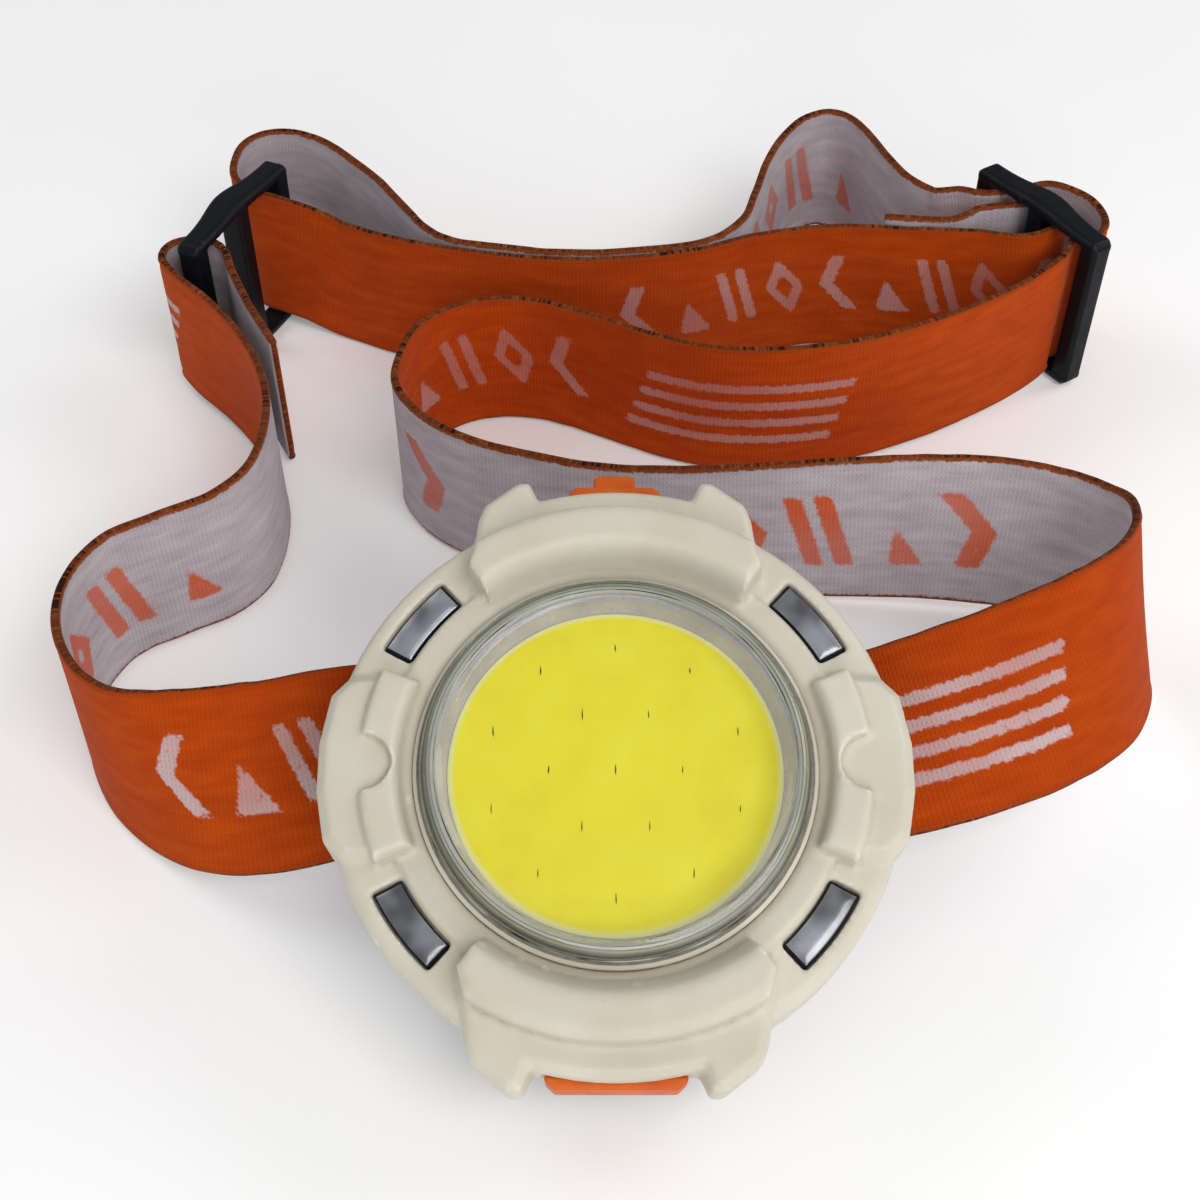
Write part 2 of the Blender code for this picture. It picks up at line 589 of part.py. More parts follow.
def build_strap(frame, mat):
    curve = smooth(strap_route(), 4)
    along, across, through = ribbon_frames(curve)
    half_w, half_t = STRAP_WIDTH / 2, STRAP_THICK / 2
    section = [(-half_w, -half_t), (half_w, -half_t), (half_w, half_t), (-half_w, half_t)]
    points = []
    for i, station in enumerate(curve):
        points += [tuple(station[:3] + a * across[i] + b * through[i]) for a, b in section]
    sides = len(section)
    faces = [tuple(reversed(range(sides))), tuple(range(len(points) - sides, len(points)))]
    for i in range(len(curve) - 1):
        for k in range(sides):
            n = (k + 1) % sides
            faces.append((i * sides + k, i * sides + n, (i + 1) * sides + n, (i + 1) * sides + k))
    return new_object("headband_strap", points, faces, frame, mat)


def build_slider(name, slider, table, mat):
    """A three-bar slider standing on edge: s along it, z up, o through its thickness."""
    s = slider["s"]
    turn = Matrix(((s[0], 0, s[1]), (s[1], 0, -s[0]), (0, 1, 0)))
    frame = Frame(name + "_spot", table, (*slider["centre"], 0.0), turn)
    half_s, half_o = SLIDER_LENGTH / 2, SLIDER_THICK / 2
    body = block(name, (-half_s, 0, -half_o), (half_s, SLIDER_HEIGHT, half_o), frame, mat, chamfer=1.0)
    rail, bar, centre = 1.6, 3.3, 1.5
    slots = [
        block(name + "_far_slot", (-half_s + bar, rail, -5), (-centre, SLIDER_HEIGHT - rail, 5), frame),
        block(name + "_near_slot", (centre, rail, -5), (half_s - bar, SLIDER_HEIGHT - rail, 5), frame),
    ]
    cut_all(body, slots)
    return body


def main():
    clear_scene()
    mats = {
        "cream": material("bezel", (0.62, 0.57, 0.46), 0.45),
        "glass": material("lens", (0.95, 0.97, 0.97), 0.05, alpha=0.35),
        "seal": material("seal", (0.06, 0.06, 0.06), 0.6),
        "reflector": material("reflector", (0.75, 0.75, 0.76), 0.2, metallic=1.0),
        "phosphor": material("phosphor", (0.80, 0.78, 0.05), 0.5),
        "board": material("cob_board", (0.70, 0.70, 0.70), 0.4, metallic=1.0),
        "aluminium": material("heat_sink", (0.65, 0.66, 0.68), 0.35, metallic=1.0),
        "insert": material("insert", (0.13, 0.14, 0.16), 0.2),
        "circuit": material("circuit_board", (0.03, 0.18, 0.08), 0.5),
        "battery": material("battery", (0.10, 0.22, 0.45), 0.4),
        "switch": material("tactile_switch", (0.05, 0.05, 0.05), 0.5),
        "steel": material("steel", (0.55, 0.56, 0.58), 0.3, metallic=1.0),
        "wire_red": material("wire_red", (0.55, 0.02, 0.02), 0.45),
        "wire_black": material("wire_black", (0.02, 0.02, 0.02), 0.45),
        "silicone": material("silicone", (0.75, 0.17, 0.02), 0.6),
        "dark_plastic": material("dark_plastic", (0.02, 0.02, 0.025), 0.5),
        "webbing": material("webbing", (0.55, 0.12, 0.02), 0.8),
    }
    table = Frame("table_spot", None, TABLE_SHIFT)
    hinge = (0.0, HINGE_V, HINGE_W)
    lamp = Frame("lamp_hinge", table, lamp_point(*hinge), lamp_turn(), hinge)
    fixed = Frame("bracket_spot", table, lamp_point(*hinge), lamp_turn(), hinge)
    build_bezel(lamp, mats["cream"])
    build_light(lamp, mats)
    build_electronics(lamp, mats)
    build_button(lamp.moving("button_slide", BUTTON_PIVOT), mats["silicone"])
    build_cover(lamp.moving("cover_hinge", COVER_PIVOT), mats["silicone"])
    build_housing(lamp, mats)
    build_bracket(fixed, mats)
    build_strap(table, mats["webbing"])
    build_slider("right_slider", RIGHT_SLIDER, table, mats["dark_plastic"])
    build_slider("left_slider", LEFT_SLIDER, table, mats["dark_plastic"])


main()
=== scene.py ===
"""The looks of the headlamp: softened mouldings, a woven strap, a clear lens and studio light.

Lamp coordinates are u to the lamp's right, v up its face and w out of its face. Lengths are in
millimetres until a mesh or a shader needs metres.
"""

import math

import bmesh
import bpy
import numpy as np
from mathutils import Matrix, Vector


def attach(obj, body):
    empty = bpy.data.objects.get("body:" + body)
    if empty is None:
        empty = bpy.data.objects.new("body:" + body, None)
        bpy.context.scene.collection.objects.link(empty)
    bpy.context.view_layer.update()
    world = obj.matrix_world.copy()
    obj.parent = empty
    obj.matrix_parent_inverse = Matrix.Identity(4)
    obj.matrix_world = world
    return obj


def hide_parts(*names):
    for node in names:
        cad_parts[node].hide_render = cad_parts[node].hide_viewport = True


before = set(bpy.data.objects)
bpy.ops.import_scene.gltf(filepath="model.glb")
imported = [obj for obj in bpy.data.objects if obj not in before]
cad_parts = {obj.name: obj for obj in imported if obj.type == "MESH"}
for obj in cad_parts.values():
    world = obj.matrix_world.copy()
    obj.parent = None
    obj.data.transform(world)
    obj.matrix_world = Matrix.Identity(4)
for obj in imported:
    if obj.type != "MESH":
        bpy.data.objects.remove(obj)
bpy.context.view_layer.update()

MM = 0.001
LAMP_LEAN_DEG = 22.0
LAMP_CENTRE = (0.0, 1.5, 31.3)
TABLE_SHIFT = (-4.0, -64.3, 0.2)

STRAP_V = 7.5
STRAP_WIDTH = 25.0
STRAP_THICK = 1.2
RIB_PITCH = 0.62
ROW_PITCH = 0.80
STITCH_PITCH = 0.34


def srgb(red, green, blue):
    """An 8-bit display colour as the linear colour that shaders take."""
    def linear(value):
        value /= 255
        return value / 12.92 if value <= 0.04045 else ((value + 0.055) / 1.055) ** 2.4
    return (linear(red), linear(green), linear(blue), 1.0)


def lamp_point(u, v, w):
    """A lamp point in the table's coordinates, before the table's shift."""
    turn = Matrix.Rotation(math.radians(LAMP_LEAN_DEG), 3, "X")
    return Vector(LAMP_CENTRE) + turn @ Vector((u, v, w))


def lamp_place(u, v, w):
    """A lamp point in metres, where the model stands."""
    return (lamp_point(u, v, w) + Vector(TABLE_SHIFT)) * MM


# Shaders -------------------------------------------------------------------------------


class Shader:
    """Builds one procedural material. Its coordinates are the piece's own, in millimetres."""

    def __init__(self, name):
        self.mat = bpy.data.materials.new(name)
        self.mat.use_nodes = True
        self.tree = self.mat.node_tree
        self.surface = self.tree.nodes["Principled BSDF"]
        self.output = self.tree.nodes["Material Output"]
        coords = self.add("ShaderNodeTexCoord")
        scale = self.add("ShaderNodeVectorMath", operation="SCALE")
        scale.inputs["Scale"].default_value = 1000.0
        self.tree.links.new(coords.outputs["Object"], scale.inputs[0])
        self.mm = scale.outputs[0]

    def add(self, kind, **settings):
        node = self.tree.nodes.new(kind)
        for name, value in settings.items():
            setattr(node, name, value)
        return node

    def put(self, socket, value):
        if isinstance(value, bpy.types.NodeSocket):
            self.tree.links.new(value, socket)
        else:
            socket.default_value = value

    def math(self, operation, a, b=0.0):
        node = self.add("ShaderNodeMath", operation=operation)
        self.put(node.inputs[0], a)
        self.put(node.inputs[1], b)
        return node.outputs[0]

    def uneven(self, noise, amount):
        """Turns a noise from 0 to 1 into one that goes up and down about 0."""
        return self.math("MULTIPLY", self.math("SUBTRACT", noise, 0.5), amount)

    def stretched(self, coord, factors):
        """The coordinate with each of its directions scaled by its own factor."""
        node = self.add("ShaderNodeVectorMath", operation="MULTIPLY")
        self.put(node.inputs[0], coord)
        node.inputs[1].default_value = factors
        return node.outputs[0]

    def noise(self, per_mm, detail=2.0, roughness=0.5, coord=None, distortion=0.0):
        """Fractal noise with so many features to a millimetre."""
        node = self.add("ShaderNodeTexNoise")
        self.put(node.inputs["Vector"], coord or self.mm)
        self.put(node.inputs["Scale"], per_mm)
        self.put(node.inputs["Detail"], detail)
        self.put(node.inputs["Roughness"], roughness)
        self.put(node.inputs["Distortion"], distortion)
        return node.outputs["Fac"]

    def attribute(self, name):
        return self.add("ShaderNodeAttribute", attribute_name=name).outputs["Fac"]

    def vector(self, x, y, z=0.0):
        node = self.add("ShaderNodeCombineXYZ")
        for socket, value in zip(node.inputs, (x, y, z)):
            self.put(socket, value)
        return node.outputs[0]

    def ramp(self, value, stops):
        """A colour ramp through (position, colour) stops."""
        node = self.add("ShaderNodeValToRGB")
        self.put(node.inputs[0], value)
        elements = node.color_ramp.elements
        while len(elements) < len(stops):
            elements.new(0.5)
        for element, (position, colour) in zip(elements, stops):
            element.position = position
            element.color = colour
        return node.outputs[0]

    def between(self, value, low, high, to_low=0.0, to_high=1.0):
        """A smooth step from to_low to to_high as value goes from low to high."""
        node = self.add("ShaderNodeMapRange", interpolation_type="SMOOTHSTEP")
        for socket, number in zip(node.inputs, (value, low, high, to_low, to_high)):
            self.put(socket, number)
        return node.outputs[0]

    def mix(self, share, a, b, blend="MIX"):
        node = self.add("ShaderNodeMix", data_type="RGBA", blend_type=blend)
        self.put(node.inputs["Factor"], share)
        self.put(node.inputs[6], a)
        self.put(node.inputs[7], b)
        return node.outputs[2]

    def bump(self, height, height_mm, below=None):
        """A bump of so many millimetres, on top of another bump if there is one below it."""
        node = self.add("ShaderNodeBump")
        self.put(node.inputs["Distance"], height_mm * MM)
        self.put(node.inputs["Height"], height)
        if below is not None:
            self.put(node.inputs["Normal"], below)
        return node.outputs[0]

    def pointiness(self):
        """Above a half on edges and below it in corners."""
        return self.add("ShaderNodeNewGeometry").outputs["Pointiness"]

    def set(self, **values):
        """Sets the shader's sockets: base_color sets Base Color, and so on."""
        names = {socket.name.lower().replace(" ", "_"): socket for socket in self.surface.inputs}
        for name, value in values.items():
            self.put(names[name], value)
        return self.mat


def moulded_plastic(name, low, high, worn, dirt_and_corner_shade, roughness, gloss=0.45):
    """Moulded plastic: mottled, spark-textured, with dirt specks, paler on worn edges and darkened by
    painted shade in its corners.
    """
    s = Shader(name)
    colour = s.ramp(s.noise(0.09, 4.0), [(0.32, low), (0.68, high)])
    speckle = s.noise(2.6, 3.0, 0.7)
    colour = s.mix(s.between(speckle, 0.62, 0.80, 0.0, 0.22), colour, dirt_and_corner_shade)
    edge = s.pointiness()
    scuffs = s.noise(0.55, 4.0, 0.65)
    on_edge = s.math("MULTIPLY", s.between(edge, 0.515, 0.56), s.between(scuffs, 0.35, 0.65, 0.25, 1.0))
    colour = s.mix(on_edge, colour, worn)
    # Painted shade: concave corners are darkened towards the dark dirt tone.
    painted_corner_shade = s.between(edge, 0.494, 0.43, 0.0, 0.55)
    colour = s.mix(painted_corner_shade, colour, dirt_and_corner_shade)
    rough = s.between(s.noise(0.4, 3.0), 0.3, 0.7, roughness - 0.06, roughness + 0.07)
    grain = s.bump(s.noise(4.0, 3.0, 0.6), 0.012)
    sink = s.bump(s.noise(0.11, 1.0), 0.10, grain)
    return s.set(base_color=colour, roughness=rough, normal=sink, specular_ior_level=gloss)


def silicone_rubber():
    s = Shader("orange_silicone")
    colour = s.ramp(s.noise(0.3, 3.0), [(0.3, srgb(196, 82, 12)), (0.7, srgb(216, 102, 20))])
    dust = s.between(s.noise(3.5, 4.0, 0.7), 0.56, 0.75, 0.0, 0.10)
    colour = s.mix(dust, colour, srgb(240, 170, 130))
    # Painted shade: concave places are darkened towards a deep brown.
    colour = s.mix(s.between(s.pointiness(), 0.48, 0.42, 0.0, 0.7), colour, srgb(120, 40, 10))
    rough = s.between(s.noise(1.2), 0.3, 0.7, 0.48, 0.62)
    return s.set(
        base_color=colour, roughness=rough, normal=s.bump(s.noise(5.0, 2.0), 0.012),
        subsurface_weight=0.06, subsurface_scale=0.001, sheen_weight=0.03, sheen_roughness=0.4,
        specular_ior_level=0.3,
    )


def brushed_metal(name, low, high, roughness):
    """Metal with fine streaks along its x axis."""
    s = Shader(name)
    streaks = s.noise(1.0, 4.0, 0.6, s.stretched(s.mm, (0.5, 9.0, 9.0)))
    colour = s.ramp(streaks, [(0.3, low), (0.7, high)])
    rough = s.between(streaks, 0.25, 0.75, roughness - 0.08, roughness + 0.10)
    return s.set(base_color=colour, metallic=1.0, roughness=rough, normal=s.bump(streaks, 0.004))


def circuit_laminate():
    s = Shader("circuit_laminate")
    cells = s.add("ShaderNodeTexVoronoi", distance="CHEBYCHEV")
    s.put(cells.inputs["Vector"], s.mm)
    cells.inputs["Scale"].default_value = 0.35
    traces = s.between(cells.outputs["Distance"], 0.30, 0.34)
    colour = s.mix(traces, srgb(18, 96, 44), srgb(10, 62, 30))
    return s.set(base_color=colour, roughness=0.35, coat_weight=0.4, normal=s.bump(traces, 0.03))


def printed_film(name, low, high):
    """Wrapped film or wire sleeve with soft colour variation and small wrinkles."""
    s = Shader(name)
    colour = s.ramp(s.noise(0.25, 3.0), [(0.3, low), (0.7, high)])
    wrinkles = s.noise(0.35, 5.0, 0.6, distortion=1.2)
    return s.set(base_color=colour, roughness=0.38, coat_weight=0.25, normal=s.bump(wrinkles, 0.12))


def rubber_seal():
    s = Shader("black_seal")
    colour = s.ramp(s.noise(1.5, 3.0), [(0.3, srgb(30, 31, 31)), (0.7, srgb(52, 53, 52))])
    return s.set(base_color=colour, roughness=0.6, normal=s.bump(s.noise(5.0), 0.01))


def grey_silicone():
    s = Shader("grey_silicone")
    colour = s.ramp(s.noise(1.2, 3.0), [(0.3, srgb(112, 109, 94)), (0.7, srgb(140, 137, 120))])
    return s.set(base_color=colour, roughness=0.5, normal=s.bump(s.noise(4.0), 0.012))


def phosphor_gel():
    """The yellow gel over the light's chips, paler at its rim, glowing a little."""
    s = Shader("phosphor_gel")
    radius = s.attribute("radius_mm")
    cloudy = s.noise(0.16, 3.0, 0.6)
    colour = s.ramp(cloudy, [
        (0.3, srgb(228, 214, 40)), (0.5, srgb(232, 220, 46)), (0.7, srgb(234, 224, 58))])
    ripples = s.noise(0.9, 2.0)
    colour = s.mix(s.between(ripples, 0.62, 0.78, 0.0, 0.25), colour, srgb(222, 202, 44))
    rim = s.between(radius, 18.9, 19.8, 0.0, 0.8)
    colour = s.mix(rim, colour, srgb(230, 230, 190))
    return s.set(
        base_color=colour, roughness=0.42, normal=s.bump(s.noise(0.5, 2.0), 0.05),
        emission_color=colour, emission_strength=0.30, coat_weight=0.1, coat_roughness=0.3,
    )


def reflector_chrome():
    """The satin silver ring round the light, with a faint glow of its own."""
    s = Shader("reflector_chrome")
    colour = s.ramp(s.noise(0.2, 3.0), [(0.3, srgb(160, 156, 176)), (0.7, srgb(188, 183, 204))])
    rough = s.between(s.noise(0.6, 3.0), 0.3, 0.7, 0.26, 0.34)
    return s.set(
        base_color=colour, metallic=0.15, roughness=rough, normal=s.bump(s.noise(0.3, 1.0), 0.01),
        emission_color=(0.84, 0.83, 1.0, 1), emission_strength=0.14,
    )


def clear_lens():
    """Clear plastic: see-through, with a share of gloss that rises at grazing angles."""
    s = Shader("clear_lens")
    clear = s.add("ShaderNodeBsdfTransparent")
    clear.inputs["Color"].default_value = (0.97, 0.98, 0.96, 1)
    gloss = s.add("ShaderNodeBsdfGlossy")
    gloss.inputs["Color"].default_value = (1, 1, 1, 1)
    s.put(gloss.inputs["Roughness"], s.between(s.noise(0.8, 3.0), 0.3, 0.7, 0.02, 0.05))
    s.put(gloss.inputs["Normal"], s.bump(s.noise(0.12, 1.0), 0.05))
    fresnel = s.add("ShaderNodeFresnel")
    fresnel.inputs["IOR"].default_value = 1.5
    share = s.between(fresnel.outputs[0], 0.0, 1.0, 0.02, 0.90)
    both = s.add("ShaderNodeMixShader")
    s.put(both.inputs[0], share)
    s.tree.links.new(clear.outputs[0], both.inputs[1])
    s.tree.links.new(gloss.outputs[0], both.inputs[2])
    s.tree.links.new(both.outputs[0], s.output.inputs["Surface"])
    s.tree.nodes.remove(s.surface)
    return s.mat


def grey_glaze():
    """The light that the lens's thick edge bends: a see-through grey with fine rings."""
    s = Shader("lens_edge_glaze")
    radius = s.attribute("radius_mm")
    bands = s.ramp(s.between(radius, 21.3, 22.8), [
        (0.00, srgb(236, 238, 240)), (0.12, srgb(128, 128, 116)), (0.20, srgb(226, 227, 214)),
        (0.38, srgb(196, 196, 178)), (0.50, srgb(92, 89, 72)), (0.60, srgb(214, 213, 176)),
        (0.80, srgb(158, 156, 134)), (1.00, srgb(112, 107, 88))])
    clouds = s.noise(0.07, 3.0)
    colour = s.mix(s.between(clouds, 0.45, 0.62, 0.0, 0.40), bands, srgb(198, 200, 198))
    seen = s.between(s.noise(0.12, 2.0), 0.35, 0.62, 0.80, 0.60)
    return s.set(base_color=colour, roughness=0.25, alpha=seen, normal=s.bump(s.noise(0.5), 0.03))


def dark_line():
    """Painted lines of shade and glint in the lens's edge, dark in places and silver in others."""
    s = Shader("dark_line")
    shade = s.ramp(s.noise(0.16, 2.0), [(0.38, srgb(58, 55, 44)), (0.62, srgb(206, 206, 200))])
    return s.set(base_color=shade, roughness=0.3, metallic=0.3, normal=s.bump(s.noise(1.0), 0.02))


def insert_window():
    s = Shader("insert_window")
    colour = s.ramp(s.noise(0.13, 2.0), [(0.38, srgb(86, 87, 92)), (0.60, srgb(158, 160, 167))])
    return s.set(
        base_color=colour, roughness=0.30, metallic=0.35, coat_weight=0.6, coat_roughness=0.10,
        normal=s.bump(s.noise(0.7, 2.0), 0.04),
    )


def webbing_cloth():
    """Printed elastic webbing: orange outside, pale inside, with a rolled brown edge."""
    s = Shader("printed_webbing")
    along, across = s.attribute("along_mm"), s.attribute("across_mm")
    side, ink_out, ink_in = s.attribute("side"), s.attribute("ink_outside"), s.attribute("ink_inside")
    strap = s.vector(along, across)

    # The weave: fine ribs across the strap, crossed by rows along it.
    rib = s.math("SINE", s.math("MULTIPLY", along, 2 * math.pi / RIB_PITCH))
    row = s.math("SINE", s.math("MULTIPLY", across, 2 * math.pi / ROW_PITCH))
    crossing = s.math("MULTIPLY", rib, row)
    weave = s.math("ADD", s.math("MULTIPLY", rib, 0.35), s.math("MULTIPLY", crossing, 0.45))
    thread = s.noise(1.6, 3.0, 0.6, strap)

    streaks = s.noise(0.55, 3.0, 0.5, s.stretched(strap, (0.25, 1.0, 1.0)))
    orange = s.ramp(streaks, [
        (0.25, srgb(170, 60, 6)), (0.50, srgb(182, 68, 7)), (0.78, srgb(194, 78, 11))])
    orange = s.mix(s.between(s.noise(0.03, 2.0), 0.4, 0.7, 0.0, 0.30), orange, srgb(160, 50, 7))
    lilac = s.ramp(streaks, [
        (0.25, srgb(172, 160, 166)), (0.50, srgb(186, 175, 181)), (0.78, srgb(200, 191, 196))])

    # Prints are worn: their edges follow the threads and some of the ink is gone. The part of
    # the strap that lies well behind the lamp is the more rubbed.
    fray = s.uneven(s.noise(1.1, 4.0, 0.7, strap), 1.5)
    gone = s.between(s.noise(0.6, 4.0, 0.7, strap), 0.60, 0.72, 0.0, 0.75)
    faded = s.between(s.noise(0.035, 2.0, 0.5, strap), 0.38, 0.62, 0.86, 0.50)
    rubbed = s.between(along, 560.0, 640.0, 0.50, 1.0)
    cover = s.math("MULTIPLY", s.math("MULTIPLY", faded, rubbed), s.math("SUBTRACT", 1.0, gone))
    printed_out = s.between(s.math("ADD", ink_out, fray), -0.18, 0.22)
    printed_in = s.between(s.math("ADD", ink_in, fray), -0.25, 0.35)
    white_ink = s.math("MULTIPLY", printed_out, cover)
    orange_ink = s.math("MULTIPLY", printed_in, s.math("POWER", cover, 0.4))
    outside = s.mix(white_ink, orange, srgb(202, 184, 186))
    inside = s.mix(orange_ink, lilac, srgb(206, 82, 18))

    # The rolled edge is brown, and its colour runs a little way onto both faces.
    rim = s.math("SUBTRACT", STRAP_WIDTH / 2, s.math("ABSOLUTE", across))
    ragged = s.math("ADD", rim, s.uneven(s.noise(1.4, 4.0, 0.7, strap), 1.3))
    inside = s.mix(s.between(ragged, 1.0, 0.55), inside, srgb(134, 66, 30))
    outside = s.mix(s.between(ragged, 1.15, 0.5, 0.0, 0.6), outside, srgb(150, 60, 16))
    cloth = s.mix(s.between(side, -0.3, 0.3), outside, inside)

    # The cut edge: brown and tan threads with short dark stitches in uneven runs.
    stitch = s.add("ShaderNodeTexWhiteNoise", noise_dimensions="1D")
    s.put(stitch.inputs["W"], s.math("FLOOR", s.math("DIVIDE", along, STITCH_PITCH)))
    runs = s.between(s.noise(0.055, 2.0, 0.5, s.vector(along, 0.0)), 0.42, 0.66, -0.3, 0.25)
    dash = s.between(s.math("ADD", stitch.outputs["Value"], runs), 0.78, 0.84)
    edge = s.ramp(s.noise(1.5, 4.0, 0.8, strap), [
        (0.3, srgb(72, 30, 12)), (0.5, srgb(104, 48, 20)), (0.74, srgb(164, 96, 46))])
    edge = s.mix(dash, edge, srgb(46, 20, 10))
    on_edge = s.between(s.math("ABSOLUTE", side), 0.86, 0.60)
    cloth = s.mix(on_edge, cloth, edge)

    height = s.math("ADD", weave, s.math("MULTIPLY", thread, 0.8))
    fine = s.bump(height, 0.045)
    lumps = s.bump(s.noise(0.12, 1.0, 0.5, strap), 0.22, fine)
    # Painted shade: the weave's hollows are darkened a little.
    colour = s.mix(s.between(weave, -0.6, 0.6, 0.14, 0.0), cloth, srgb(60, 22, 10), "MULTIPLY")
    return s.set(
        base_color=colour, roughness=0.86, normal=lumps, specular_ior_level=0.08,
        sheen_weight=0.03, sheen_roughness=0.5,
    )


def table_top():
    s = Shader("pale_table")
    colour = s.ramp(s.noise(0.01, 3.0), [(0.3, (0.90, 0.90, 0.90, 1)), (0.7, (0.93, 0.93, 0.93, 1))])
    return s.set(
        base_color=colour, roughness=0.7, normal=s.bump(s.noise(0.8), 0.01), specular_ior_level=0.1,
        emission_color=colour, emission_strength=0.16,
    )


CREAM = moulded_plastic(
    "cream_moulding", low=srgb(200, 193, 176), high=srgb(210, 204, 188), worn=srgb(226, 221, 208),
    dirt_and_corner_shade=srgb(124, 107, 82), roughness=0.50)
DARK = moulded_plastic(
    "dark_moulding", low=srgb(8, 10, 15), high=srgb(14, 16, 23), worn=srgb(34, 38, 48),
    dirt_and_corner_shade=srgb(4, 4, 6), roughness=0.46, gloss=0.16)
SILICONE = silicone_rubber()
STEEL = brushed_metal("brushed_steel", srgb(150, 152, 156), srgb(196, 198, 202), 0.30)
ALUMINIUM = brushed_metal("brushed_aluminium", srgb(176, 178, 182), srgb(214, 216, 220), 0.38)
SEAL = rubber_seal()
WINDOW = insert_window()


# Meshes --------------------------------------------------------------------------------


def on_circle(radius, turn, centre=(0.0, 0.0)):
    """The point of a circle at a turn in radians."""
    return centre[0] + radius * math.cos(turn), centre[1] + radius * math.sin(turn)


def new_piece(name, points_mm, faces, mat, body, replaces=(), smooth=True):
    """A piece from points where the model stands, riding on a body."""
    mesh = bpy.data.meshes.new(name)
    mesh.from_pydata([Vector(p) * MM for p in points_mm], [], faces)
    mesh.validate()
    piece = bpy.data.objects.new(name, mesh)
    bpy.context.scene.collection.objects.link(piece)
    mesh.materials.append(mat)
    return finish_piece(piece, body, replaces, smooth)


def finish_piece(piece, body, replaces=(), smooth=True):
    """Says which body the piece rides on and the nodes it stands for."""
    piece.data.shade_smooth() if smooth else piece.data.shade_flat()
    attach(piece, body)
    if replaces:
        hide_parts(*replaces)
    return piece


def apply_modifiers(obj):
    """Turns an object's modifiers into its mesh."""
    depsgraph = bpy.context.evaluated_depsgraph_get()
    mesh = bpy.data.meshes.new_from_object(obj.evaluated_get(depsgraph))
    old = obj.data
    obj.modifiers.clear()
    obj.data = mesh
    bpy.data.meshes.remove(old)


def softened(node, name, mat, body, voxel_mm, rounds, change=None):
    """A copy of a CAD node whose edges are rounded like a moulding's, standing for the node.

    change takes the rounded copy's points, in mm, and returns where they go.
    """
    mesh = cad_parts[node].data.copy()
    mesh.materials.clear()
    mesh.materials.append(mat)
    joined = bmesh.new()
    joined.from_mesh(mesh)
    bmesh.ops.remove_doubles(joined, verts=joined.verts, dist=1e-6)
    joined.to_mesh(mesh)
    joined.free()
    piece = bpy.data.objects.new(name, mesh)
    bpy.context.scene.collection.objects.link(piece)
    remesh = piece.modifiers.new("voxels", "REMESH")
    remesh.mode = "VOXEL"
    remesh.voxel_size = voxel_mm * MM
    remesh.use_smooth_shade = True
    relax = piece.modifiers.new("round", "SMOOTH")
    relax.factor = 0.5
    relax.iterations = rounds
    apply_modifiers(piece)
    if change:
        points = np.zeros(len(piece.data.vertices) * 3)
        piece.data.vertices.foreach_get("co", points)
        points = change(points.reshape(-1, 3) / MM) * MM
        piece.data.vertices.foreach_set("co", points.ravel())
        piece.data.update()
    finish_piece(piece, body, (node,))


def turned(name, profile, mat, body, replaces=(), segments=144):
    """A lamp piece turned from (radius, w) points, with a radius_mm attribute for its shader.

    The profile is a closed loop, or it begins and ends on the lamp's axis.
    """
    points, radii, faces = [], [], []
    count = len(profile)
    on_axis = profile[0][0] == 0 and profile[-1][0] == 0
    for k in range(segments):
        for r, w in profile:
            points.append(lamp_place(*on_circle(r, 2 * math.pi * k / segments), w) / MM)
            radii.append(r)
    for k in range(segments):
        after = (k + 1) % segments
        for i in range(count - 1 if on_axis else count):
            j = (i + 1) % count
            faces.append((k * count + i, after * count + i, after * count + j, k * count + j))
    piece = new_piece(name, points, faces, mat, body, replaces)
    radius = piece.data.attributes.new("radius_mm", "FLOAT", "POINT")
    radius.data.foreach_set("value", radii)
    welded = bmesh.new()
    welded.from_mesh(piece.data)
    bmesh.ops.remove_doubles(welded, verts=welded.verts, dist=1e-7)
    welded.to_mesh(piece.data)
    welded.free()


def rounded(points, radius, steps=4):
    """The closed profile with each corner rounded off."""
    out = []
    for i, point in enumerate(points):
        here = Vector(point)
        before, after = Vector(points[i - 1]) - here, Vector(points[(i + 1) % len(points)]) - here
        reach = min(radius, before.length * 0.45, after.length * 0.45)
        start, end = here + before.normalized() * reach, here + after.normalized() * reach
        for k in range(steps + 1):
            t = k / steps
            out.append(tuple(start * (1 - t) ** 2 + here * 2 * t * (1 - t) + end * t * t))
    return out


# The lamp ------------------------------------------------------------------------------

LENS_R = 22.9
LENS_BACK = 1.55
LENS_FRONT = 4.14
PHOSPHOR_R = 19.9
PHOSPHOR_BACK = -1.7
GEL_TOP = -0.72
GEL_SAG = 0.10
INNER_BONDS_R = 7.9
OUTER_BONDS_R = 15.3


def fine_ring(name, radius, w, thick, mat):
    """A thin round ring in the lens that carries a painted line of shade and glint."""
    turns = np.linspace(0, 2 * math.pi, 10, endpoint=False)
    profile = [on_circle(thick, turn, (radius, w)) for turn in turns]
    turned(name, profile, mat, "lamp_head")


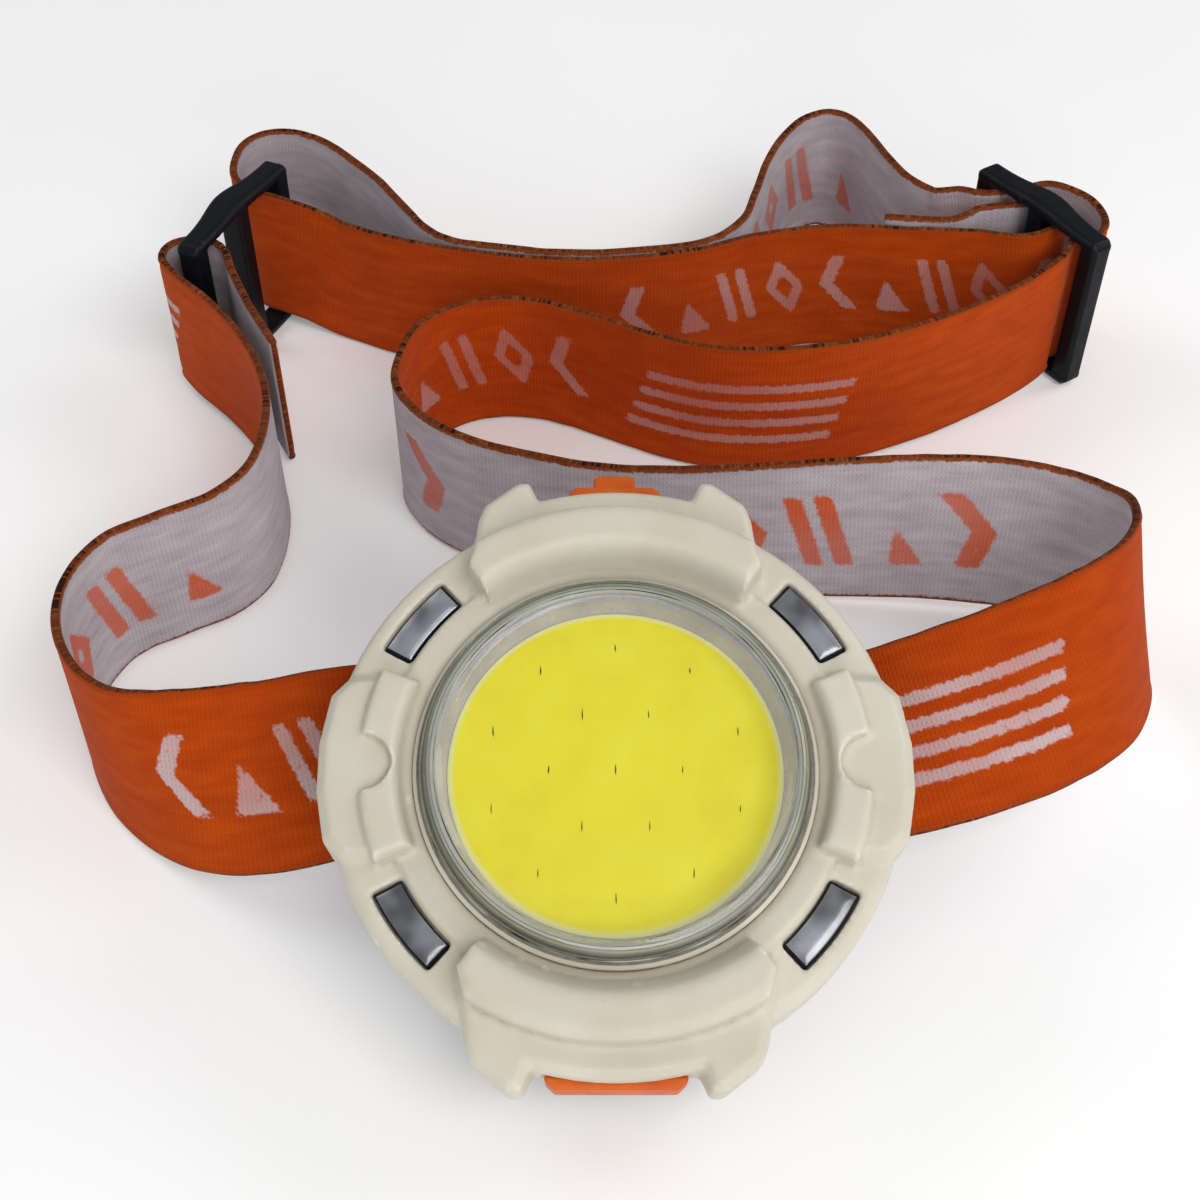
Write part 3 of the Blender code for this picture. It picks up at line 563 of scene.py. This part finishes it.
def build_lens():
    """The domed window, the light in its thick edge, two painted lines of shade and glint and the seat
    below it.
    """
    flat = list(np.arange(0.0, 19.0, 2.5))
    corners = [(22.5, LENS_BACK), (LENS_R, 2.0), (22.75, 3.1), (21.9, 3.9), (20.6, 4.08)]
    window = [(r, LENS_BACK) for r in flat + [20.0, 21.5]] + rounded(corners, 0.5, 6)
    window += [(19.2, 4.12)] + [(r, LENS_FRONT) for r in reversed(flat)]
    turned("lens_window", window, clear_lens(), "lamp_head", ("lens",))
    glaze = [(21.3, 1.75), (22.3, 1.75), (22.6, 2.2), (22.5, 3.1), (21.8, 3.65), (21.3, 3.5)]
    turned("lens_edge_glaze", rounded(glaze, 0.25, 5), grey_glaze(), "lamp_head")
    line = dark_line()
    # Both lines are painted: the inner one is a dark and silver edge line seen through the lens, and the
    # outer one is the shadow in the gap by the bezel.
    fine_ring("lens_inner_line", 21.05, 3.90, 0.07, line)
    fine_ring("lens_outer_line", 22.85, 1.35, 0.12, line)
    seat = [(22.98, 0.1), (23.75, 0.1), (23.75, 0.95), (23.1, 1.15), (22.98, 0.9)]
    turned("lens_seat", rounded(seat, 0.2), CREAM, "lamp_head")


def build_reflector():
    """The ring round the light: a cone with a flange that stops below the lens."""
    cone = [
        (19.95, -1.5), (21.0, -1.5), (22.0, -0.4), (22.0, -0.05), (20.98, -0.05), (20.98, 1.25),
        (22.3, 1.25), (22.3, 1.48), (21.1, 1.48), (20.55, 0.6), (19.95, -0.95),
    ]
    turned(
        "reflector_cone", rounded(cone, 0.15), reflector_chrome(), "lamp_head",
        ("reflector_ring",))


def gel_height(radius):
    """The gel's top is a very shallow dome."""
    return GEL_TOP - GEL_SAG * (radius / 19.0) ** 2


def build_phosphor():
    top = [(r, gel_height(r)) for r in np.linspace(0.0, 18.8, 24)]
    shoulder = [(19.3, -0.86), (19.6, -0.95), (19.8, -1.1), (PHOSPHOR_R, -1.3)]
    back = [(r, PHOSPHOR_BACK) for r in (PHOSPHOR_R, 10.0, 0.0)]
    profile = list(reversed(top + shoulder + back))
    turned("phosphor_disc", profile, phosphor_gel(), "lamp_head", ("cob_phosphor",))


def build_bond_marks():
    """Small dark slivers under the gel, in a hexagon and an outer ring."""
    spots = [(0.0, 0.0)]
    spots += [on_circle(INNER_BONDS_R, math.radians(a)) for a in range(0, 360, 60)]
    spots += [on_circle(OUTER_BONDS_R, math.radians(a)) for a in range(90, 450, 36)]
    rng = np.random.default_rng(5)
    points, faces = [], []
    for u, v in spots:
        long, wide, lean = rng.uniform(0.42, 0.80), rng.uniform(0.07, 0.10), rng.uniform(-0.06, 0.06)
        w = gel_height(math.hypot(u, v))
        start = len(points)
        outline = [
            (0, -long), (wide, -long * 0.2), (wide * 0.6, long * 0.6),
            (0, long), (-wide * 0.6, long * 0.5), (-wide, -long * 0.3),
        ]
        for lift in (-0.02, 0.03):
            points += [lamp_place(u + a + lean * b, v + b, w + lift) / MM for a, b in outline]
        n = len(outline)
        faces += [tuple(start + i for i in reversed(range(n))), tuple(start + n + i for i in range(n))]
        for i in range(n):
            j = (i + 1) % n
            faces.append((start + i, start + j, start + n + j, start + n + i))
    s = Shader("bond_wire")
    colour = s.ramp(s.noise(2.0), [(0.3, srgb(52, 46, 8)), (0.7, srgb(96, 84, 14))])
    mat = s.set(base_color=colour, roughness=0.5)
    new_piece("bond_marks", points, faces, mat, "lamp_head", smooth=False)


INSERT_ANGLES = {
    "insert_upper_right": 38.0,
    "insert_upper_left": 142.0,
    "insert_lower_left": 218.0,
    "insert_lower_right": -38.0,
}
INSERT_INNER_R = 28.0
INSERT_OUTER_R = 31.6
INSERT_HALF_DEG = 9.7
INSERT_BACK = -1.3
INSERT_FRAME = 0.056


def insert_rim(a, b):
    """How far in from the insert's rim a place is, as a share of its width."""
    return min(min(a, 1 - a), min(b, 1 - b) * 2.6)


def insert_height(rim):
    """The outer skirt, the flat frame and then the window's dome."""
    if rim < 0.01:
        return -0.75
    if rim < INSERT_FRAME:
        return -0.45
    dome = min(1.0, (rim - INSERT_FRAME) / 0.34)
    return -0.62 + 0.36 * math.sqrt(max(0.0, 1 - (1 - dome) ** 2))


def build_insert(node, angle_deg):
    """A curved window in a dark frame: a grid over its radius and angle, closed at the back."""
    across, along = 18, 30
    row = along + 1

    def place(i, k, w):
        r = INSERT_INNER_R + (INSERT_OUTER_R - INSERT_INNER_R) * i / across
        turn = math.radians(angle_deg + INSERT_HALF_DEG * (2 * k / along - 1))
        return lamp_place(*on_circle(r, turn), w) / MM

    points = [
        place(i, k, insert_height(insert_rim(i / across, k / along)))
        for i in range(across + 1) for k in range(row)
    ]
    faces, window_faces = [], []
    for i in range(across):
        for k in range(along):
            if insert_rim((i + 0.5) / across, (k + 0.5) / along) >= INSERT_FRAME:
                window_faces.append(len(faces))
            corner = i * row + k
            faces.append((corner, corner + row, corner + row + 1, corner + 1))

    border = list(range(row)) + [i * row + along for i in range(1, across + 1)]
    border += [across * row + k for k in range(along - 1, -1, -1)]
    border += [i * row for i in range(across - 1, 0, -1)]
    base, n = len(points), len(border)
    points += [place(*divmod(index, row), INSERT_BACK) for index in border]
    for i in range(n):
        j = (i + 1) % n
        faces.append((border[i], border[j], base + j, base + i))
    faces.append(tuple(base + i for i in range(n)))

    piece = new_piece(node + "_lens", points, faces, DARK, "lamp_head", (node,))
    piece.data.materials.append(WINDOW)
    for index in window_faces:
        piece.data.polygons[index].material_index = 1


SCREW_CIRCLE_R = 29.6
SCREW_HEAD_R = 1.9
SCREW_TOP = -12.75
CROSS_HALF_WIDTH = 0.28
CROSS_REACH = 1.15


def screw_top(u, v, r):
    """A domed head with a cross recess, seen from behind the lamp."""
    w = SCREW_TOP + 0.45 * (r / SCREW_HEAD_R) ** 2
    if min(abs(u), abs(v)) < CROSS_HALF_WIDTH and r < CROSS_REACH:
        w += 0.75 * (1 - (r / 1.3) ** 2)
    return w


def pan_head(number, angle_deg):
    """A screw: rings of points for its head, then the underside and the shank."""
    centre = on_circle(SCREW_CIRCLE_R, math.radians(angle_deg))
    rings, spokes = 14, 48
    turns = [2 * math.pi * k / spokes for k in range(spokes)]
    points = [lamp_place(*centre, -12.0) / MM]
    for i in range(1, rings + 1):
        r = SCREW_HEAD_R * i / rings
        for turn in turns:
            u, v = on_circle(r, turn)
            points.append(lamp_place(centre[0] + u, centre[1] + v, screw_top(u, v, r)) / MM)
    for w, r in ((-11.4, SCREW_HEAD_R), (-11.3, 0.9), (-5.2, 0.9)):
        points += [lamp_place(*on_circle(r, turn, centre), w) / MM for turn in turns]

    total = rings + 3
    faces = []
    for k in range(spokes):
        n = (k + 1) % spokes
        faces.append((0, 1 + n, 1 + k))
        for i in range(total - 1):
            a, b = 1 + i * spokes, 1 + (i + 1) * spokes
            faces.append((a + k, a + n, b + n, b + k))
    faces.append(tuple(1 + (total - 1) * spokes + k for k in range(spokes)))
    node = f"screw_{number}"
    new_piece(node + "_head", points, faces, STEEL, "lamp_head", (node,))


def build_lamp():
    softened("bezel", "bezel_moulding", CREAM, "lamp_head", voxel_mm=0.36, rounds=5)
    softened("rear_housing", "housing_moulding", DARK, "lamp_head", voxel_mm=0.42, rounds=3)
    softened(
        "power_button", "button_moulding", SILICONE, "power_button", voxel_mm=0.16, rounds=4)
    softened("port_cover", "cover_moulding", SILICONE, "port_cover", voxel_mm=0.18, rounds=4)
    build_lens()
    build_reflector()
    build_phosphor()
    build_bond_marks()
    for node, angle in INSERT_ANGLES.items():
        build_insert(node, angle)
    for number, angle in enumerate((45, 135, 225, 315), 1):
        pan_head(number, angle)


def dress_cad():
    """Better materials on the CAD nodes whose shape is kept."""
    finishes = (
        (grey_silicone(), ("lens_seal",)),
        (SEAL, ("housing_seal",)),
        (ALUMINIUM, ("cob_base_plate", "heat_sink_plate")),
        (circuit_laminate(), ("circuit_board",)),
        (printed_film("battery_film", srgb(36, 74, 132), srgb(58, 104, 168)), ("battery",)),
        (STEEL, ("usb_socket", "hinge_pin", "hinge_washer_left", "hinge_washer_right")),
        (printed_film("red_sleeve", srgb(168, 22, 18), srgb(196, 36, 28)), ("battery_wire_red",)),
        (printed_film("black_sleeve", srgb(24, 24, 25), srgb(40, 40, 42)), ("battery_wire_black",)),
        (DARK, ("tactile_switch",)),
    )
    for mat, nodes in finishes:
        for node in nodes:
            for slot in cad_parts[node].material_slots:
                slot.material = mat


# The sliders ---------------------------------------------------------------------------

# Each slider stands on edge. Its s axis runs along it, towards the lamp, and its o axis points
# away from the head space.
RIGHT_SLIDER = {"centre": (72.7, 123.8), "s": (0.540, -0.842), "o": (0.842, 0.540)}
LEFT_SLIDER = {"centre": (-63.5, 123.8), "s": (-0.396, -0.918), "o": (-0.918, 0.396)}
SLIDER_HEIGHT = 29.0
RAIL_DEPTH = 1.9


def bowed(slider):
    """Makes the slider's two rails thicker, with a bow outwards where the centre bar meets them."""
    centre = np.array(slider["centre"]) + np.array(TABLE_SHIFT[:2])
    s_axis, o_axis = np.array(slider["s"]), np.array(slider["o"])

    def change(points):
        flat = points[:, :2] - centre
        s, o, z = flat @ s_axis, flat @ o_axis, points[:, 2] - TABLE_SHIFT[2]
        rail = np.clip(1 - np.minimum(z, SLIDER_HEIGHT - z) / RAIL_DEPTH, 0, 1) ** 0.5
        middle = np.exp(-((s / 6.0) ** 2))
        o = o * (1 + 0.12 * rail + 0.30 * rail * middle) + 1.0 * rail * middle
        lift = 0.5 * rail * np.exp(-((s / 7.0) ** 2)) * np.sign(z - SLIDER_HEIGHT / 2)
        moved = centre + s[:, None] * s_axis + o[:, None] * o_axis
        return np.column_stack([moved, np.maximum(points[:, 2] + lift, TABLE_SHIFT[2])])

    return change


def build_sliders():
    for node, slider in (("right_slider", RIGHT_SLIDER), ("left_slider", LEFT_SLIDER)):
        softened(
            node, node + "_moulding", DARK, "strap_and_bracket",
            voxel_mm=0.24, rounds=4, change=bowed(slider))
    softened(
        "tilt_bracket", "bracket_moulding", DARK, "strap_and_bracket",
        voxel_mm=0.30, rounds=3)


# The strap -----------------------------------------------------------------------------

STRAP_MID = 12.5
SLIDER_MID = 14.5


def at_slider(slider, s, o, z=SLIDER_MID):
    """A strap station by a slider, standing on edge."""
    x = slider["centre"][0] + s * slider["s"][0] + o * slider["o"][0]
    y = slider["centre"][1] + s * slider["s"][1] + o * slider["o"][1]
    return (x, y, z, 0.0)


def at_lamp(u, w):
    """A strap station beside the bracket, level with its slots and leaning as the lamp does."""
    return (*lamp_point(u, STRAP_V, w), 90.0 - LAMP_LEAN_DEG)


def strap_route():
    """Stations (x, y, z, lean) in mm and degrees from the sewn end to the free end.

    x, y, z is the middle of the webbing. A lean of 0 stands it on edge, and a positive lean
    tips its upper edge to the right of the way it runs.
    """

    def level(points, z=STRAP_MID):
        return [(x, y, z, 0.0) for x, y in points]

    def right(points):
        return [at_slider(RIGHT_SLIDER, *point) for point in points]

    def left(points):
        return [at_slider(LEFT_SLIDER, *point) for point in points]

    # From the sewn end, round the right slider's centre bar.
    route = level([(46.5, 124.9), (52.5, 124.2), (58, 124.2)], 13.6) + [(63.2, 126.4, 14.1, 0.0)]
    route += right([(-6.4, -4.6), (-4.7, -1.0), (-3.2, 2.6), (0, 4.2)])
    route += right([(3.2, 2.4), (3.9, -1.2), (2.6, -6.0, 14.0)])
    # The rear run to the left slider, out through its far slot and round the rear curl.
    route += [(61, 121.2, 13.0, 0.0)]
    route += level([(51, 122.6), (39, 123.5), (25, 121), (13, 116.2)])
    route += level([(-2, 113.8), (-18, 115), (-34, 119), (-47, 125)])
    route += left([(-7.5, -9, 14.0), (-7.5, -3), (-7.8, 2), (-11, 7), (-19, 10.4)])
    route += [(-62.6, 150.2, 14.2, 0.0), (-57.5, 151.6, 13.8, 0.0), (-52, 149.6, 13.3, 0.0)]
    # The second rear run, with its far bend, out of the right slider's far slot and in again.
    route += level([(-46.6, 145.2), (-41, 138.4), (-35.3, 129.4), (-31, 122.8), (-26.5, 119.5)])
    route += level([(-18, 117.6), (-8, 116), (7, 117), (16.5, 119.6), (22.3, 125.5), (25.2, 134.2)])
    route += level([(28.2, 145), (31.9, 153.4), (36, 158.9), (40.2, 160.9), (43.8, 159.2), (46.6, 154.1)])
    route += level([(49.5, 145.5), (52.8, 138.4), (57, 134.5)])
    route += right([(-13.6, -4.7, 13.5), (-9.7, -2.5), (-8.1, 2.8), (-6.5, 8)])
    route += right([(0, 10.5), (7, 8), (9.4, 3.5), (8.2, -0.5), (10.4, -4.2)])
    # The middle run and its turn, then the run to the lamp, which leans over as it nears it.
    route += [(69.5, 108.5, 13.0, 0.0)]
    route += level([(62, 103.5), (51, 97), (39, 92), (29, 90), (17, 90), (7.6, 93), (-2, 98)])
    route += level([(-11, 102), (-18, 103), (-25, 101), (-30.5, 96), (-33, 88.5), (-33, 81.5)])
    route += level([(-29, 74.5), (-22, 69), (-13.5, 65.5), (-2, 62.5)])
    route += [
        (10, 61.2, 12.5, -3), (22, 60.8, 13, -6), (34, 60.8, 13.5, -9), (46, 60.5, 14, -12),
        (57, 59.4, 14, -14), (66, 56.4, 14.5, -10), (72, 50.5, 16.5, 0), (73, 44, 18.5, 8),
        (71.8, 37.5, 20.5, 18), (68.5, 31, 22.5, 28), (63, 25, 24, 40), (55, 20, 24, 50),
        (45, 16.5, 22.5, 57), (34, 15, 19.5, 65),
    ]
    # Through both slots of the bracket, behind the lamp.
    threading = [(24, -17.9), (19.6, -18.0), (17.5, -18.8), (16.1, -20.2), (14.7, -21.6), (12.6, -22.4)]
    route += [at_lamp(u, w) for u, w in threading] + [at_lamp(0, -22.5)]
    route += [at_lamp(-u, w) for u, w in reversed(threading)]
    # The left front turn, up to the left slider, in through its near slot, to the free end.
    route += [
        (-34, 14.2, 17, 62), (-45, 12.5, 15.5, 50), (-55, 13, 14.2, 30), (-63, 16.3, 12.8, 13),
        (-69, 21.5, STRAP_MID, 4),
    ]
    route += level([(-73.5, 30), (-74.5, 39), (-71, 47.5), (-64, 52.3), (-57.2, 56.5), (-53, 62.5)])
    route += level([(-51.8, 72), (-53.2, 81.6)])
    route += [(-57.5, 91.5, 13.0, 0.0), (-64.5, 101, 13.6, 0.0), (-70.6, 107.3, 14.0, 0.0)]
    route += level([(-73.8, 112.2), (-72.5, 115.8)], SLIDER_MID)
    route += left([(8, 1), (8.7, -2.8), (13, -7.3, 14.0)])
    route += level([(-58.4, 101.5), (-55.6, 96.2), (-53.0, 91.2)], 13.0)
    return np.array(route, float)


def smooth(stations, steps):
    """A centripetal Catmull-Rom curve through every station, with so many steps between two."""
    ends = [2 * stations[0] - stations[1]], [2 * stations[-1] - stations[-2]]
    points = np.vstack([ends[0], stations, ends[1]])
    curve = []
    for i in range(1, len(points) - 2):
        p0, p1, p2, p3 = points[i - 1 : i + 3]
        t1 = np.linalg.norm((p1 - p0)[:3]) ** 0.5
        t2 = t1 + np.linalg.norm((p2 - p1)[:3]) ** 0.5
        t3 = t2 + np.linalg.norm((p3 - p2)[:3]) ** 0.5
        for step in range(steps):
            t = t1 + (t2 - t1) * step / steps
            a1 = p0 + (p1 - p0) * t / t1
            a2 = p1 + (p2 - p1) * (t - t1) / (t2 - t1)
            a3 = p2 + (p3 - p2) * (t - t2) / (t3 - t2)
            b1 = a1 + (a2 - a1) * t / t2
            b2 = a2 + (a3 - a2) * (t - t1) / (t3 - t1)
            curve.append(b1 + (b2 - b1) * (t - t1) / (t2 - t1))
    curve.append(points[-2])
    return np.array(curve)


def run_lengths(curve):
    """How far along the curve each of its points is."""
    steps = np.linalg.norm(np.diff(curve[:, :3], axis=0), axis=1)
    return np.concatenate([[0.0], np.cumsum(steps)])


def evenly_spaced(curve, spacing):
    """The curve at even steps, and how far along each step is."""
    lengths = run_lengths(curve)
    count = int(round(lengths[-1] / spacing)) + 1
    wanted = np.linspace(0, lengths[-1], count)
    return np.column_stack([np.interp(wanted, lengths, curve[:, i]) for i in range(4)]), wanted


def ribbon_axes(curve):
    """Unit vectors across the webbing's width and through its thickness, per station."""
    along = np.gradient(curve[:, :3], axis=0)
    along /= np.linalg.norm(along, axis=1)[:, None]
    upright = np.array([0, 0, 1.0]) - along * along[:, 2:3]
    upright /= np.linalg.norm(upright, axis=1)[:, None]
    right = np.cross(along, upright)
    lean = np.radians(curve[:, 3])[:, None]
    across = upright * np.cos(lean) + right * np.sin(lean)
    return across, np.cross(along, across)


def slab(x, t, x0, x1, t0, t1):
    """How far a place is inside a rectangle, in mm: negative outside it."""
    return np.minimum(np.minimum(x - x0, x1 - x), np.minimum(t - t0, t1 - t))


def slanted_marks(s, t, start, count, pitch=9.0, low=-4.6, high=6.4, slant=0.30, stroke=1.1):
    """A row of leaning geometric marks in turn: a chevron, a rhombus ring, two bars, a wedge.

    s and t are mm along and across the strap. The result is positive inside a mark.
    """
    ink = np.full(np.broadcast(s, t).shape, -9.0)
    x = s - start - slant * t
    wide, middle = pitch * 0.72, (low + high) / 2
    for k in range(count):
        local, height = x - k * pitch - wide / 2, np.abs(t - middle)
        inside = slab(local, t, -wide / 2, wide / 2, low, high)
        kind = k % 4
        if kind == 0:
            mark = stroke - np.abs(local - 1.6 + height * 0.62) * 0.85
        elif kind == 1:
            mark = stroke * 0.75 - np.abs(np.abs(local) * 0.86 + height * 0.50 - 2.2)
        elif kind == 2:
            mark = stroke * 0.85 - np.abs(np.abs(local) - stroke * 0.85 - 0.8)
        else:
            mark = 2.3 - np.abs(local) * 0.80 - (t - low) * 0.34
        ink = np.maximum(ink, np.minimum(inside, mark))
    return ink


def slanted_stripes(s, t, start, length, slant=0.35):
    """Four stripes side by side, with slanted ends."""
    ink = np.full(np.broadcast(s, t).shape, -9.0)
    for centre in (4.4, 1.0, -2.4, -5.8):
        ink = np.maximum(ink, slab(s - start + slant * t, t, 0, length, centre - 0.8, centre + 0.8))
    return ink


def outside_print(s, t):
    """The print on the outside repeats along the strap: stripes, then a row of marks."""
    ink = np.full(np.broadcast(s, t).shape, -9.0)
    for start in (-9, 231, 471, 711, 951):
        ink = np.maximum(ink, slanted_stripes(s, t, start, 34))
        ink = np.maximum(ink, slanted_marks(s, t, start + 44, 9))
    return ink


def inside_print(s, t):
    """The print on the inside: bolder marks that lean the other way, in separate groups."""
    ink = np.full(np.broadcast(s, t).shape, -9.0)
    for start, count in ((120, 4), (312, 4), (565, 1), (603, 5), (846, 4)):
        marks = slanted_marks(s, t, start, count, pitch=11.5, low=-6.2, slant=-0.3, stroke=1.7)
        ink = np.maximum(ink, marks)
    return ink


def strap_section(face_steps=30, edge_steps=4):
    """The webbing's cross-section: (across, through, side) round it, beginning on the outside.

    A bead runs along each edge, with a shallow groove beside it.
    """
    half_w, half_t = STRAP_WIDTH / 2, STRAP_THICK / 2
    edge_r = half_t * 1.12
    reach = half_w - edge_r
    section = []
    for k in range(face_steps):
        a = -reach + 2 * reach * k / face_steps
        groove = 0.10 * math.exp(-(((reach - 0.9 - abs(a)) / 0.5) ** 2))
        bead = (edge_r - half_t) * math.exp(-(((reach + 0.1 - abs(a)) / 0.5) ** 2))
        section.append((a, -half_t + groove - bead, -1.0))
    for k in range(edge_steps):
        turn = math.pi * k / edge_steps
        section.append((reach + edge_r * math.sin(turn), -edge_r * math.cos(turn), -math.cos(turn)))
    return section + [(-a, -b, -side) for a, b, side in section]


STRAP_STEP = 0.92
EDGE_ZONE = 11.4
RUFFLE_KNOTS = 420


def build_strap():
    """The webbing swept along its route, with its print and weave as attributes of its points."""
    curve, lengths = evenly_spaced(smooth(strap_route(), 12), STRAP_STEP)
    across, through = ribbon_axes(curve)
    section = np.array(strap_section())
    count, sides = len(curve), len(section)
    rng = np.random.default_rng(11)
    knots = rng.uniform(-1, 1, (2, RUFFLE_KNOTS))

    points = np.zeros((count, sides, 3))
    for k, (a, b, _) in enumerate(section):
        ruffle = np.interp(lengths, np.linspace(0, lengths[-1], RUFFLE_KNOTS), knots[int(a > 0)])
        pull = 0.994 - 0.006 * ruffle if abs(a) > EDGE_ZONE else np.ones(count)
        points[:, k] = curve[:, :3] + across * (a * pull)[:, None] + through * b
    points += np.array(TABLE_SHIFT)

    faces = [tuple(reversed(range(sides))), tuple(range((count - 1) * sides, count * sides))]
    for i in range(0, (count - 1) * sides, sides):
        for k in range(sides):
            n = (k + 1) % sides
            faces.append((i + k, i + n, i + sides + n, i + sides + k))
    strap = new_piece(
        "strap_webbing", points.reshape(-1, 3), faces, webbing_cloth(), "strap_and_bracket",
        ("headband_strap",))

    s = np.repeat(lengths[:, None], sides, 1)
    t = np.repeat(section[None, :, 0], count, 0)
    values = {
        "along_mm": s, "across_mm": t, "side": np.repeat(section[None, :, 2], count, 0),
        "ink_outside": outside_print(s, t), "ink_inside": inside_print(s, t),
    }
    for name, value in values.items():
        attribute = strap.data.attributes.new(name, "FLOAT", "POINT")
        attribute.data.foreach_set("value", value.ravel().astype(np.float32))


# The studio ----------------------------------------------------------------------------

TABLE_REACH_M = 3.0
TABLE_DROP_M = 0.0001
LIT_PLACE = (0, -0.03, 0.02)
CAMERA_PLACE = (-0.00584, -0.18906, 0.19061)
CAMERA_TILT_DEG = 44.0
CAMERA_LENS_MM = 51.66


def soft_light(name, place, size, watts, tint=(1, 1, 1)):
    """A rectangular light at a place in metres, aimed at the headlamp."""
    data = bpy.data.lights.new(name, "AREA")
    data.shape = "RECTANGLE"
    data.size, data.size_y = size
    data.energy = watts
    data.color = tint
    light = bpy.data.objects.new(name, data)
    light.location = place
    light.rotation_euler = (Vector(LIT_PLACE) - Vector(place)).to_track_quat("-Z", "Y").to_euler()
    bpy.context.scene.collection.objects.link(light)


def build_studio():
    """A pale table, a dim even sky, four soft lights and the camera at the photograph's angle."""
    scene = bpy.context.scene
    table = bpy.data.meshes.new("table")
    corners = [(x * TABLE_REACH_M, y * TABLE_REACH_M, 0) for x, y in ((-1, -1), (1, -1), (1, 1), (-1, 1))]
    table.from_pydata(corners, [], [(0, 1, 2, 3)])
    floor = bpy.data.objects.new("table", table)
    scene.collection.objects.link(floor)
    floor.location.z = -TABLE_DROP_M
    table.materials.append(table_top())

    world = bpy.data.worlds.new("studio")
    scene.world = world
    world.use_nodes = True
    sky = world.node_tree.nodes["Background"]
    sky.inputs["Color"].default_value = (0.95, 0.97, 1.0, 1)
    sky.inputs["Strength"].default_value = 0.30

    soft_light("key", (0.34, -0.55, 0.75), (0.5, 0.45), 3.8, (1.0, 0.98, 0.95))
    soft_light("front", (0.05, -0.80, 0.34), (0.6, 0.3), 2.0)
    soft_light("left", (-0.62, 0.30, 0.62), (0.5, 0.5), 1.5)
    soft_light("right", (0.70, 0.20, 0.55), (0.5, 0.5), 2.0)

    camera = bpy.data.cameras.new("camera")
    camera.lens = CAMERA_LENS_MM
    camera.sensor_width = 36.0
    camera.clip_start = 0.01
    view = bpy.data.objects.new("camera", camera)
    view.location = CAMERA_PLACE
    view.rotation_euler = (math.radians(CAMERA_TILT_DEG), 0, 0)
    scene.collection.objects.link(view)
    scene.camera = view
    scene.view_settings.view_transform = "Standard"


build_studio()
build_lamp()
dress_cad()
build_sliders()
build_strap()
